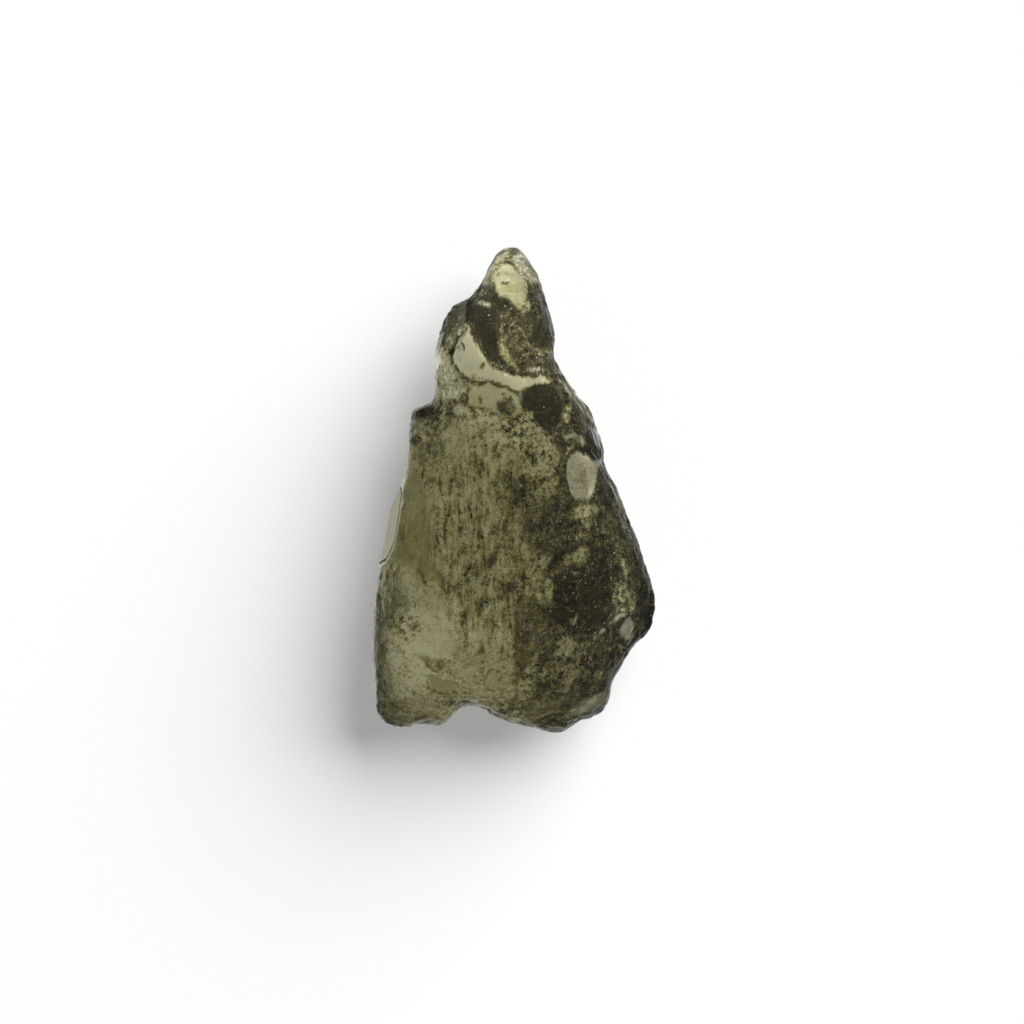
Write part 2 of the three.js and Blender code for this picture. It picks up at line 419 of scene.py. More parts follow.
@dataclass(frozen=True)
class Spire:
    """The pointed end: a window by the tip painted clear as light, a shell under it painted black as shade,
    and a beaded rind on its left with painted light on its white.

    Args:
        ground: The broad changes of tone, laid first.
        rind: The beaded crust on its left, whose silvery white is painted light.
        windows: The clear faces.
        lines: The folds, arcs and cracks, laid last.
    """

    # Painted shade and light: the spire, bowl and shells are tinted dark to black as shade; the tip's sides,
    # the glow under the window, the light streak and the sheen are painted light.
    ground: Sequence[Mark] = (
        Mark("spire", Outline(((-3.0, 10.2), (-1.9, 11.7), (-1.0, 13.6), (-0.2, 14.1), (0.8, 13.6),
             (1.8, 11.4), (2.5, 8.3), (2.6, 6.1), (-1.4, 6.2), (-4.4, 5.8), (-4.8, 7.6))), Tone.DARK,
             Surface.ETCHED, 0.4),
        Mark("left side of the tip", Outline(((-0.2, 14.0), (-1.0, 13.3), (-1.9, 11.8), (-1.5, 11.5),
             (-1.2, 12.3), (-0.5, 13.2))), Tone.PALE, Surface.MATT, 0.25, weight=0.8, through=True),
        Mark("beaded side of the tip", Outline(((-0.1, 13.5), (0.4, 13.6), (1.1, 12.6), (1.7, 11.6),
             (0.8, 11.9), (0.1, 12.2))), Tone.PALE, Surface.BEADED, 0.2),
        Mark("right edge of the tip", Trace(((0.4, 13.6), (1.1, 12.7), (1.6, 11.8), (1.9, 10.8)), 0.3),
             Tone.OLIVE, Surface.FROSTED, 0.2, weight=0.8),
        Mark("dark right of the window", Outline(((0.9, 11.9), (1.8, 11.4), (2.0, 10.1), (1.4, 10.8),
             (0.8, 11.6))), Tone.DARK, Surface.ETCHED, 0.25),
        Mark("glow under the window", Outline(((0.1, 10.6), (0.8, 10.9), (1.4, 10.2), (0.4, 9.8))),
             Tone.OLIVE, Surface.ETCHED, 0.35, weight=0.6),
        Mark("bowl on the right", Outline(((0.3, 9.7), (2.0, 9.8), (2.3, 8.5), (1.8, 7.7), (0.8, 8.2),
             (0.3, 9.1))), Tone.DARK, Surface.MATT, 0.25, sink=0.1, weight=0.8),
        Mark("dark of the bowl", Outline(((1.3, 9.4), (2.1, 9.5), (2.2, 8.6), (1.7, 7.8), (0.8, 8.4))),
             Tone.BLACK, Surface.MATT, 0.3, weight=0.6),
        Mark("grey shell", Outline(((-0.3, 8.9), (0.3, 9.0), (0.9, 8.0), (2.1, 7.6), (2.1, 6.5), (0.6, 6.7),
             (-0.3, 8.1))), Tone.DARK, Surface.ETCHED, 0.25, weight=0.6),
        Mark("dark in the grey shell", Oval((1.1, 7.2), (0.6, 0.45)), Tone.DARK, Surface.ETCHED, 0.3,
             weight=0.9),
        Mark("light streak", Outline(((-1.0, 8.1), (-0.7, 8.1), (0.0, 7.1), (0.3, 6.6), (-0.5, 7.1))),
             Tone.OLIVE, Surface.MATT, 0.2, weight=0.8),
        Mark("dark shell", Outline(((-2.9, 10.5), (-1.9, 11.5), (-1.1, 11.1), (0.1, 10.2), (-0.8, 10.2),
             (-1.1, 9.3), (-1.1, 7.9), (-0.2, 6.9), (-0.8, 6.9), (-1.5, 7.5), (-2.1, 8.3), (-2.7, 9.6)), 1),
             Tone.BLACK, Surface.MATT, 0.2, sink=0.05),
        Mark("sheen in the dark shell", Trace(((-2.0, 10.6), (-1.5, 10.4)), 0.14), Tone.PALE,
             Surface.FROSTED, 0.16, weight=0.8),
        Mark("dark left of the tip", Oval((-1.9, 11.2), (0.9, 0.3), 35), Tone.DARK, Surface.ETCHED, 0.3),
    )
    # Painted light: the rind, its lens and its white are tinted clear for the glare on its beads; painted
    # shade: the crease, the dark bead and the dark under the wrinkles.
    rind: Sequence[Mark] = (
        Mark("rind", Outline(((-3.1, 10.9), (-2.8, 10.5), (-2.9, 9.0), (-3.4, 8.4), (-3.6, 7.2),
             (-2.9, 6.2), (-2.8, 5.4), (-3.3, 4.7), (-4.6, 5.7), (-4.9, 7.2), (-4.9, 8.6), (-4.1, 10.2))),
             Tone.CLEAR, Surface.BEADED, 0.2, weight=0.9),
        Mark("lens at its top", Oval((-3.0, 10.2), (0.2, 0.6), -4), Tone.PALE, Surface.FROSTED, 0.14,
             rim=0.5),
        Mark("brown of the rind", Oval((-3.6, 9.5), (0.4, 0.6), 15), Tone.OLIVE, Surface.BEADED, 0.25,
             weight=0.4),
        Mark("white of the rind", Outline(((-4.9, 8.9), (-3.5, 9.0), (-3.4, 8.2), (-3.8, 7.5), (-3.8, 6.9),
             (-4.9, 6.8)), 1), Tone.CLEAR, Surface.MATT, 0.14),
        Mark("crease in the white", Trace(((-3.9, 8.9), (-4.0, 8.2), (-3.9, 7.6)), 0.12), Tone.DARK,
             edge=0.15),
        Mark("dark bead", Oval((-3.6, 7.7), (0.25, 0.15), 10), Tone.BLACK, Surface.SMOOTH, 0.12),
        Mark("dark under the wrinkles", Oval((-3.9, 4.9), (0.8, 0.3)), Tone.DEEP, Surface.ETCHED, 0.3),
    )
    # Painted light: the windows and the bubble's bright side are tinted clear; painted shade: the black
    # bubble, the darker spots and bead in the band, and the hairlines round the windows.
    windows: Sequence[Mark] = (
        Mark("tip window", Outline(((-0.7, 12.9), (-0.2, 12.9), (0.1, 12.3), (0.9, 11.7), (0.7, 10.9),
             (0.4, 10.0), (-0.2, 10.6), (-1.1, 11.1), (-1.1, 11.7), (-1.4, 12.0), (-0.9, 12.7)), 1),
             Tone.PALE, Surface.POLISHED, 0.12, sink=0.1, rim=0.4, weight=0.95),
        Mark("bubble", Oval((-0.6, 11.8), (0.25, 0.12), -30), Tone.BLACK, Surface.SMOOTH, 0.08, sink=0.06),
        Mark("its bright side", Trace(((-0.8, 11.9), (-0.4, 11.9)), 0.07), Tone.CLEAR, Surface.FROSTED,
             0.08),
        Mark("neck band", Outline(((-2.8, 9.6), (-2.5, 8.8), (-2.1, 7.9), (-1.3, 6.9), (-0.8, 6.6),
             (0.7, 6.3), (1.5, 6.3), (2.4, 6.0), (0.8, 5.9), (0.2, 5.4), (-0.7, 6.0), (-1.3, 6.2),
             (-2.3, 6.0), (-3.0, 6.5), (-3.6, 7.3), (-3.3, 8.3), (-2.9, 8.8)), 1), Tone.CLEAR,
             Surface.POLISHED, 0.12, sink=0.12, rim=0.5, through=True),
        Mark("smudge in the band", Oval((-2.1, 6.3), (0.35, 0.22)), Tone.DEEP, Surface.ETCHED, 0.2,
             weight=0.8),
        Mark("spot in the band", Oval((-1.8, 7.0), (0.16, 0.2)), Tone.DEEP, Surface.ETCHED, 0.15,
             weight=0.8),
        Mark("bead in the band", Oval((-0.1, 6.5), (0.2, 0.13)), Tone.BLACK, Surface.SMOOTH, 0.12,
             sink=0.05),
    )
    # Painted shade in the crack, the dark lines and edge and the dark dot; painted light on the pale arcs
    # and line.
    lines: Sequence[Mark] = (
        Mark("crack under the neck", Trace(((-1.9, 6.1), (-1.4, 6.1), (-0.4, 5.8), (0.2, 5.4)), 0.09),
             Tone.BLACK, edge=0.12, sink=0.1),
        Mark("arc of the bowl", Trace(((0.3, 9.1), (0.5, 8.6), (0.8, 8.2), (1.2, 7.8), (2.1, 7.7)), 0.09),
             Tone.OLIVE, Surface.MATT, 0.12),
        Mark("arc in the grey shell", Trace(((0.5, 7.5), (0.9, 7.7), (1.7, 7.5)), 0.08), Tone.PALE,
             Surface.MATT, 0.1, weight=0.8),
        Mark("dark line by the streak", Trace(((-0.5, 8.1), (-0.2, 7.6), (0.4, 6.8), (0.8, 6.5),
             (1.5, 6.4)), 0.12), Tone.BLACK, edge=0.14, sink=0.06),
        Mark("pale line at the foot", Trace(((0.8, 6.8), (1.6, 6.7)), 0.08), Tone.PALE, Surface.FROSTED,
             0.1),
        Mark("dark edge of the rind", Trace(((-2.8, 10.5), (-2.9, 9.1)), 0.08), Tone.BLACK, edge=0.1),
        Mark("dark dot low in the rind", Oval((-3.2, 6.1), (0.13, 0.14)), Tone.BLACK, Surface.SMOOTH, 0.1),
    )

    def marks(self) -> list[Mark]:
        """Its marks, in the order in which they are laid."""
        return [*self.ground, *self.rind, *self.windows, *self.lines]


@dataclass(frozen=True)
class Shoulder:
    """The upper end of the body: a round shell painted pale, a bay beside it painted black as shade, and the
    corner on the left.

    Args:
        ground: The broad changes of tone, laid first.
        shells: The hollows and beads in it.
    """

    # Painted light and shade: the upper face and the strip are tinted paler, the corners and mottle darker,
    # and the corner's sparkles are painted.
    ground: Sequence[Mark] = (
        Mark("upper face", Outline(((-2.7, 5.9), (0.3, 4.3), (0.9, 3.1), (0.7, 1.7), (-1.0, 1.0),
             (-2.6, 1.7))), Tone.PALE, Surface.ETCHED, 0.7, weight=0.45),
        Mark("paler strip", Outline(((-4.0, 3.4), (-2.6, 3.5), (-2.6, 1.7), (-2.8, 0.8), (-3.9, 1.7))),
             Tone.PALE, Surface.MATT, 0.4, weight=0.5),
        Mark("dark corner", Outline(((-5.8, 4.5), (-4.2, 5.0), (-4.2, 4.1), (-4.7, 3.8), (-5.6, 4.1))),
             Tone.DARK, Surface.ETCHED, 0.3, weight=0.9),
        Mark("dark by the rind", Outline(((-3.9, 5.0), (-3.5, 5.4), (-2.7, 4.7), (-3.2, 3.8), (-4.0, 4.1))),
             Tone.DARK, Surface.ETCHED, 0.3, weight=0.9),
        Mark("green mottle", Oval((-4.5, 2.6), (0.45, 0.75)), Tone.DEEP, Surface.ETCHED, 0.3, weight=0.9),
        Mark("brown spots", Oval((-5.6, 2.7), (0.3, 0.2)), Tone.DEEP, Surface.ETCHED, 0.25),
        Mark("sparkles of the corner", Oval((-4.5, 2.2), (0.35, 0.25)), Tone.OLIVE, Surface.SPARKLING, 0.3),
    )
    # Painted light: the pale blob, the white and silvery beads and the pale round shell; painted shade: the
    # mottle, dots and arc in the shell and the black bay.
    shells: Sequence[Mark] = (
        Mark("pale blob", Oval((-3.1, 4.4), (0.3, 0.25)), Tone.PALE, Surface.FROSTED, 0.15),
        Mark("white bead", Oval((-5.3, 3.6), (0.12, 0.14)), Tone.CLEAR, Surface.FROSTED, 0.1),
        Mark("white beads", Oval((-5.2, 2.9), (0.2, 0.14)), Tone.CLEAR, Surface.SPARKLING, 0.12),
        Mark("silvery bead", Oval((-4.5, 4.9), (0.16, 0.1), 30), Tone.PALE, Surface.FROSTED, 0.1),
        Mark("round shell", Outline(((-2.7, 5.4), (-2.0, 5.9), (-1.0, 5.9), (-0.1, 5.6), (0.4, 5.0),
             (0.5, 4.2), (-0.3, 3.9), (-1.4, 4.4), (-2.6, 4.6)), 1), Tone.PALE, Surface.SMOOTH, 0.14,
             sink=0.1, rim=0.6, through=True),
        Mark("mottle in the shell", Oval((-0.4, 4.6), (0.55, 0.5)), Tone.DARK, Surface.ETCHED, 0.3,
             weight=0.9),
        Mark("dots in the shell", Oval((-1.9, 5.0), (0.1, 0.2), 25), Tone.DARK, Surface.ETCHED, 0.12),
        Mark("arc in the shell", Trace(((-0.7, 5.3), (-0.3, 5.2), (0.0, 5.0)), 0.08), Tone.BLACK, edge=0.1,
             sink=0.04),
        Mark("bay", Outline(((0.5, 5.7), (1.4, 6.0), (2.3, 5.8), (2.9, 4.9), (2.5, 3.6), (2.0, 3.2),
             (1.3, 3.6), (0.8, 4.3), (0.4, 4.7)), 1), Tone.BLACK, Surface.MATT, 0.2, sink=0.08),
        Mark("olive under the bay", Oval((0.9, 4.1), (0.2, 0.25)), Tone.OLIVE, Surface.ETCHED, 0.2),
    )

    def marks(self) -> list[Mark]:
        """Its marks, in the order in which they are laid."""
        return [*self.ground, *self.shells]


@dataclass(frozen=True)
class MainFace:
    """The wide olive face on the left, with its flow grooves, and the shells low on it, painted light with
    shaded hollows.

    Args:
        ground: The broad changes of tone, laid first.
        shells: The hollows and facets in it.
        lines: The narrow streaks, edges and scratches, laid last.
    """

    # Painted light and shade: the face is tinted clearer on the left and low down, and darker in the brown
    # patch, the mottle and the slanting shade.
    ground: Sequence[Mark] = (
        Mark("olive face", Outline(((-5.9, 3.4), (-2.9, 3.8), (-0.1, 3.1), (0.7, 1.0), (0.3, -1.0),
             (0.9, -4.0), (-0.1, -6.2), (-0.1, -11.9), (-3.6, -13.5), (-8.5, -13.4), (-8.5, -6.9),
             (-6.3, 1.0))), Tone.OLIVE, Surface.MATT, 1.0, weight=0.8),
        Mark("centre of the face", Oval((-2.2, -2.9), (1.9, 4.2), 6), Tone.PALE, Surface.ETCHED, 1.6,
             weight=0.12),
        Mark("smooth left side", Outline(((-6.4, 1.0), (-5.0, 0.8), (-4.5, -1.0), (-4.5, -5.5),
             (-6.5, -5.5), (-7.9, -5.5), (-7.2, -3.0), (-6.7, -1.0))), Tone.OLIVE, Surface.SMOOTH, 0.7),
        Mark("light lower left", Outline(((-7.1, -4.4), (-5.8, -4.4), (-4.7, -5.7), (-3.3, -6.0),
             (-3.3, -9.4), (-4.9, -11.3), (-7.0, -12.0), (-7.9, -10.2), (-7.6, -5.9))), Tone.CLEAR,
             Surface.MATT, 1.3, weight=0.85),
        Mark("light lower middle", Outline(((-3.3, -7.6), (-0.3, -7.0), (0.3, -10.2), (0.1, -11.7),
             (-1.6, -12.1), (-3.3, -11.7))), Tone.PALE, Surface.MATT, 0.9, weight=0.7),
        Mark("left border", Trace(((-6.1, 3.0), (-6.8, 0.0), (-7.9, -5.0), (-8.1, -9.0), (-8.0, -12.5)),
             1.2), Tone.CLEAR, Surface.MATT, 0.8, weight=0.7),
        Mark("speckled patch", Oval((-6.2, -7.4), (0.9, 0.95)), Tone.OLIVE, Surface.ETCHED, 0.6,
             weight=0.6),
        Mark("brown patch", Outline(((-0.5, -0.8), (0.0, 0.6), (1.1, 0.6), (1.3, 0.1), (0.5, -0.7),
             (-0.4, -1.9))), Tone.DARK, Surface.ETCHED, 0.5, weight=0.85),
        Mark("dark mottle", Oval((-0.6, -5.5), (0.5, 0.7)), Tone.DARK, Surface.ETCHED, 0.4, weight=0.7),
        Mark("slanting shade", Trace(((-2.6, -5.8), (-1.6, -4.2), (-0.8, -3.3)), 0.45), Tone.DARK,
             Surface.ETCHED, 0.5, weight=0.6),
    )
    # Painted light: the clear lip, the bright glow, the pale strip, pit, facet and corner and the bubble;
    # painted shade: the three-sided shell, the dark spot, the small pit, the bubble's hole and the brown
    # line in the hollows.
    shells: Sequence[Mark] = (
        Mark("pale lip", Outline(LIP), Tone.CLEAR, Surface.POLISHED, 0.3, through=True),
        Mark("bright glow", Outline(((-5.4, -8.1), (-4.7, -7.9), (-3.7, -8.0), (-3.4, -8.8), (-3.6, -9.4),
             (-5.3, -9.4))), Tone.CLEAR, Surface.SMOOTH, 0.5, sink=0.06, weight=0.8, through=True),
        Mark("three-sided shell", Outline(((-5.4, -9.3), (-4.7, -9.3), (-3.7, -9.6), (-3.9, -10.0),
             (-4.2, -10.4), (-4.8, -10.0)), 1), Tone.DEEP, Surface.MATT, 0.22, sink=0.14, weight=0.9),
        Mark("pale strip under it", Outline(((-6.7, -10.7), (-5.6, -9.4), (-5.1, -9.8), (-5.4, -10.9),
             (-6.1, -12.0), (-6.7, -11.8))), Tone.CLEAR, Surface.MATT, 0.5, weight=0.45),
        Mark("dull hollow", Outline(((-4.9, -10.3), (-3.3, -10.7), (-3.3, -11.3), (-4.5, -11.5))),
             Tone.OLIVE, Surface.SMOOTH, 0.3, sink=0.06),
        Mark("dark spot", Outline(((-3.2, -7.1), (-2.5, -6.5), (-2.7, -7.3), (-3.1, -7.8)), 1), Tone.BLACK,
             Surface.ETCHED, 0.25, sink=0.1, weight=0.8),
        Mark("round pit", Oval((-1.3, -10.8), (0.4, 0.66), 6), Tone.PALE, Surface.SMOOTH, 0.12, sink=0.14),
        Mark("small pit", Oval((-1.9, -9.0), (0.2, 0.3), -20), Tone.DEEP, Surface.SMOOTH, 0.2, sink=0.06),
        Mark("bubble", Oval((-0.9, 2.0), (0.22, 0.24)), Tone.PALE, Surface.SMOOTH, 0.1),
        Mark("its hole", Oval((-0.9, 1.9), (0.13, 0.13)), Tone.BLACK, Surface.SMOOTH, 0.08, sink=0.12),
        Mark("brown line at the foot", Trace(((-3.6, -12.1), (-2.8, -12.2), (-1.6, -12.6)), 0.5), Tone.DARK,
             Surface.ETCHED, 0.25, sink=0.06, weight=0.9),
        Mark("corner facet", Outline(((-5.9, -12.0), (-5.0, -11.8), (-3.7, -12.0), (-3.6, -12.3),
             (-4.7, -12.8), (-5.9, -13.2), (-6.5, -13.1)), 1), Tone.PALE, Surface.MATT, 0.2, sink=0.08,
             weight=0.5),
        Mark("lens in the facet", Oval((-4.0, -12.0), (0.3, 0.1)), Tone.DEEP, Surface.SMOOTH, 0.12),
        Mark("pale corner", Trace(((-3.6, -12.6), (-4.2, -13.1), (-5.0, -13.4)), 0.7), Tone.PALE,
             Surface.ETCHED, 0.25, weight=0.9),
        Mark("speckled corner", Outline(((-7.8, -10.6), (-7.3, -10.5), (-7.0, -11.6), (-7.1, -13.0),
             (-7.6, -13.2), (-7.9, -11.5))), Tone.PALE, Surface.SPARKLING, 0.35, weight=0.9),
        Mark("edge of the corner", Trace(((-7.8, -12.3), (-7.5, -13.1), (-6.8, -13.4), (-5.8, -13.4)), 0.4),
             Tone.OLIVE, Surface.BEADED, 0.3),
    )
    # Painted shade in the grooves, streaks, wedge, edges and rings of the hollows, and painted light on the
    # shell's pale lip; the white scratches and the nick are the stone's own marks.
    lines: Sequence[Mark] = (
        Mark("edge of the shell", Trace(((-5.4, -9.3), (-4.9, -9.9), (-4.2, -10.4)), 0.1), Tone.BLACK,
             edge=0.12, weight=0.8),
        Mark("its pale lip", Trace(((-5.2, -9.7), (-4.7, -10.2), (-4.2, -10.5), (-3.3, -10.6)), 0.12),
             Tone.CLEAR, Surface.MATT, 0.12, weight=0.8),
        Mark("line down the hollow", Trace(((-4.9, -10.4), (-4.8, -11.2), (-3.9, -11.5)), 0.08), Tone.DARK,
             edge=0.12),
        Mark("ring of the pit", Trace(((-1.1, -10.1), (-1.5, -10.3), (-1.7, -10.8), (-1.6, -11.3),
             (-1.1, -11.4)), 0.09), Tone.DARK, edge=0.12),
        Mark("dark streaks", Trace(((-2.6, 5.1), (-2.5, 4.5), (-2.2, 4.1), (-2.3, 2.9)), 0.22), Tone.DARK,
             Surface.ETCHED, 0.25, sink=0.05),
        Mark("long dark streak", Trace(((-1.9, 2.7), (-1.8, 2.0), (-1.8, 1.1)), 0.1), Tone.BLACK, edge=0.14,
             sink=0.06),
        Mark("streak by the spot", Trace(((-1.8, -5.8), (-1.7, -6.7)), 0.08), Tone.DARK, edge=0.14,
             sink=0.05),
        Mark("wedge", Trace(((-5.4, -4.5), (-4.9, -5.5)), 0.16), Tone.DARK, edge=0.2, weight=0.8),
        Mark("streak right of it", Trace(((-4.2, -4.7), (-3.8, -5.8)), 0.22), Tone.DARK, edge=0.25,
             weight=0.8),
        Mark("streak in the middle", Trace(((-3.3, -5.4), (-3.1, -6.0)), 0.18), Tone.DARK, edge=0.2,
             weight=0.8),
        Mark("groove", Trace(((-2.0, -1.5), (-2.0, -2.2), (-2.1, -2.9)), 0.14), Tone.DARK, edge=0.2,
             sink=0.06),
        Mark("groove by the brown patch", Trace(((-0.6, -2.1), (-0.6, -2.9)), 0.16), Tone.BLACK, edge=0.2,
             sink=0.06, weight=0.8),
        Mark("brown spot", Oval((-1.2, -3.8), (0.22, 0.32), 10), Tone.DARK, Surface.ETCHED, 0.25),
        Mark("curved scratch", Trace(((-4.5, -0.9), (-4.0, -0.9), (-3.4, -0.3), (-3.2, 0.0)), 0.05),
             Tone.CLEAR, Surface.FROSTED, 0.07),
        Mark("looped scratch", Trace(((-1.8, -0.4), (-2.0, -0.8), (-1.8, -1.3), (-1.6, -0.9), (-1.4, -1.1)),
             0.05), Tone.CLEAR, Surface.FROSTED, 0.07),
        Mark("nick", Trace(((0.2, -5.8), (0.4, -5.7), (0.6, -5.5)), 0.05), Tone.CLEAR, Surface.FROSTED,
             0.07),
    )

    def marks(self) -> list[Mark]:
        """Its marks, in the order in which they are laid."""
        return [*self.ground, *self.shells, *self.lines]


@dataclass(frozen=True)
class DarkFlank:
    """The steep right side, painted nearly black as shade, with a frosty chip and small windows painted
    clear as light.

    Args:
        ground: The broad changes of tone, laid first.
        patches: The lighter patches and facets.
        windows: The chip and the clear spots.
        lines: The folds, arcs and edges, laid last.
    """

    # Painted shade: the flank is tinted dark to black for the shade it shows; the olive, deep and speckled
    # parts in it are painted lighter.
    ground: Sequence[Mark] = (
        Mark("flank", Outline(((1.6, 3.2), (1.9, 6.0), (3.0, 6.8), (5.2, 4.3), (6.6, -0.9), (9.0, -8.2),
             (8.4, -12.8), (3.8, -15.4), (0.5, -13.2), (0.8, -11.5), (1.8, -6.9), (1.4, -4.9), (2.4, -2.9),
             (2.0, -0.9), (2.7, 1.4), (2.3, 2.3))), Tone.DARK, Surface.ETCHED, 0.6),
        Mark("brown strip", Outline(((0.2, -5.7), (2.0, -6.4), (1.6, -7.6), (1.6, -8.6), (0.8, -9.6),
             (0.2, -10.9), (0.2, -12.4), (-0.8, -13.0), (0.1, -11.5), (0.0, -8.8), (-0.1, -6.8))),
             Tone.DARK, Surface.MATT, 0.25, weight=0.75),
        Mark("black middle", Outline(((2.2, -4.8), (4.3, -4.0), (5.4, -3.8), (6.2, -5.1), (5.4, -5.7),
             (5.5, -7.6), (4.1, -7.9), (2.3, -7.7))), Tone.BLACK, Surface.ETCHED, 0.5, weight=0.8),
        Mark("black under the patches", Outline(((4.1, -2.8), (5.1, -2.5), (5.5, -2.9), (5.8, -4.2),
             (4.2, -4.4))), Tone.BLACK, Surface.ETCHED, 0.4, weight=0.8),
        Mark("speckled middle", Outline(((0.0, -1.1), (1.5, -0.3), (2.6, -0.6), (3.1, -2.6), (3.8, -3.0),
             (3.5, -4.0), (0.8, -3.6))), Tone.DARK, Surface.ETCHED, 0.8, weight=0.9),
        Mark("olive under the shoulder", Outline(((0.5, 2.6), (1.3, 2.6), (2.2, 2.3), (2.3, 0.9),
             (1.8, 0.5), (0.6, 1.4))), Tone.OLIVE, Surface.ETCHED, 0.5, weight=0.35),
        Mark("lower right", Oval((2.8, -10.3), (1.3, 1.2)), Tone.DEEP, Surface.ETCHED, 0.5, weight=0.9),
        Mark("foot", Outline(((0.3, -11.7), (3.2, -11.7), (4.3, -12.3), (3.1, -13.8), (0.7, -13.4))),
             Tone.DEEP, Surface.MATT, 0.4, weight=0.8),
        Mark("grey band low on the right", Trace(((3.6, -12.6), (4.8, -12.1), (5.5, -11.8)), 0.7),
             Tone.DEEP, Surface.FROSTED, 0.3, weight=0.6),
        Mark("speckled rim", Trace(((2.6, 6.2), (3.2, 5.5), (4.0, 4.7), (4.9, 3.1)), 0.35), Tone.OLIVE,
             Surface.ETCHED, 0.3, weight=0.7),
        Mark("speckled rim lower down", Trace(((5.1, 1.3), (5.9, -0.4), (6.4, -1.9), (7.3, -4.0),
             (7.6, -5.0)), 0.4), Tone.DEEP, Surface.ETCHED, 0.3, weight=0.7),
    )
    # Painted light on the olive and green patches, the lens, the specks and the bead; painted shade on the
    # smooth facet and over and right of the chip.
    patches: Sequence[Mark] = (
        Mark("smooth facet", Outline(((4.1, 3.4), (4.7, 3.7), (5.1, 2.4), (4.9, 1.7), (4.4, 2.1),
             (3.9, 3.0)), 1), Tone.DARK, Surface.SMOOTH, 0.15, sink=0.06),
        Mark("olive patch", Outline(((3.9, -0.7), (4.6, -0.9), (5.0, -1.2), (4.8, -1.5), (4.1, -1.6),
             (3.4, -1.7), (3.2, -1.3))), Tone.OLIVE, Surface.ETCHED, 0.25),
        Mark("olive patch under it", Outline(((3.3, -1.8), (4.2, -1.7), (4.2, -2.2), (3.9, -2.9),
             (3.4, -2.4))), Tone.OLIVE, Surface.ETCHED, 0.3),
        Mark("olive mottle", Oval((2.8, -8.8), (0.55, 0.7)), Tone.OLIVE, Surface.ETCHED, 0.3),
        Mark("lens", Oval((1.9, -5.6), (0.28, 0.66), -4), Tone.PALE, Surface.MATT, 0.15, weight=0.8),
        Mark("green streak", Oval((3.0, 4.3), (0.2, 0.45), -10), Tone.OLIVE, Surface.ETCHED, 0.2,
             weight=0.9),
        Mark("green by the windows", Oval((6.3, -6.3), (0.7, 0.8)), Tone.DEEP, Surface.ETCHED, 0.4,
             weight=0.8),
        Mark("high green patch", Oval((6.3, -4.4), (0.25, 0.65), 15), Tone.OLIVE, Surface.ETCHED, 0.25,
             weight=0.8),
        Mark("green low down", Oval((5.1, -10.5), (0.5, 0.35)), Tone.OLIVE, Surface.ETCHED, 0.3,
             weight=0.7),
        Mark("specks under the patches", Trace(((3.0, -4.0), (3.9, -3.5)), 0.5), Tone.OLIVE, Surface.ETCHED,
             0.3, weight=0.8),
        Mark("dull bead", Oval((3.5, -4.7), (0.2, 0.13)), Tone.OLIVE, Surface.ETCHED, 0.12),
        Mark("shade over the chip", Trace(((3.5, 2.2), (4.2, 2.2), (4.9, 1.5)), 0.4), Tone.BLACK,
             Surface.SMOOTH, 0.15, sink=0.08),
        Mark("shade right of the chip", Oval((5.0, 0.3), (0.4, 0.95), 6), Tone.BLACK, Surface.ETCHED, 0.3,
             weight=0.7),
    )
    # Painted light: the chip, its bright side and the windows are tinted clear; painted shade: the hairlines
    # round the windows.
    windows: Sequence[Mark] = (
        Mark("chip", Outline(((3.0, 1.7), (3.4, 2.0), (4.1, 2.0), (4.4, 1.4), (4.7, 1.4), (4.6, 0.5),
             (4.3, -0.3), (4.0, -0.6), (3.4, -0.6), (3.0, 0.4))), Tone.PALE, Surface.FROSTED, 0.1,
             sink=0.12, weight=0.85),
        Mark("dull part of the chip", Oval((3.9, 0.7), (0.3, 0.6)), Tone.OLIVE, Surface.SMOOTH, 0.3,
             weight=0.9),
        Mark("bright side of the chip", Trace(((4.1, 1.9), (4.3, 1.6), (4.7, 1.4), (4.5, 0.2), (4.1, -0.6)),
             0.1), Tone.CLEAR, Surface.FROSTED, 0.12),
        Mark("window", Outline(((6.4, -7.3), (6.7, -7.4), (6.8, -7.9), (6.5, -8.5), (6.2, -8.6),
             (6.0, -7.9)), 1), Tone.CLEAR, Surface.FROSTED, 0.1, sink=0.04, rim=0.6, through=True),
        Mark("curved window", Outline(((6.4, -8.8), (6.5, -8.5), (6.9, -8.1), (6.8, -8.4), (6.6, -8.8)), 1),
             Tone.CLEAR, Surface.FROSTED, 0.1, rim=0.5, through=True),
        Mark("upper window", Outline(((5.6, -7.4), (6.0, -7.1), (6.4, -7.0), (6.2, -7.3), (5.8, -7.4)), 1),
             Tone.CLEAR, Surface.FROSTED, 0.1, rim=0.5, through=True),
        Mark("top window", Oval((6.2, -6.8), (0.22, 0.13)), Tone.CLEAR, Surface.SMOOTH, 0.1, rim=0.4),
    )
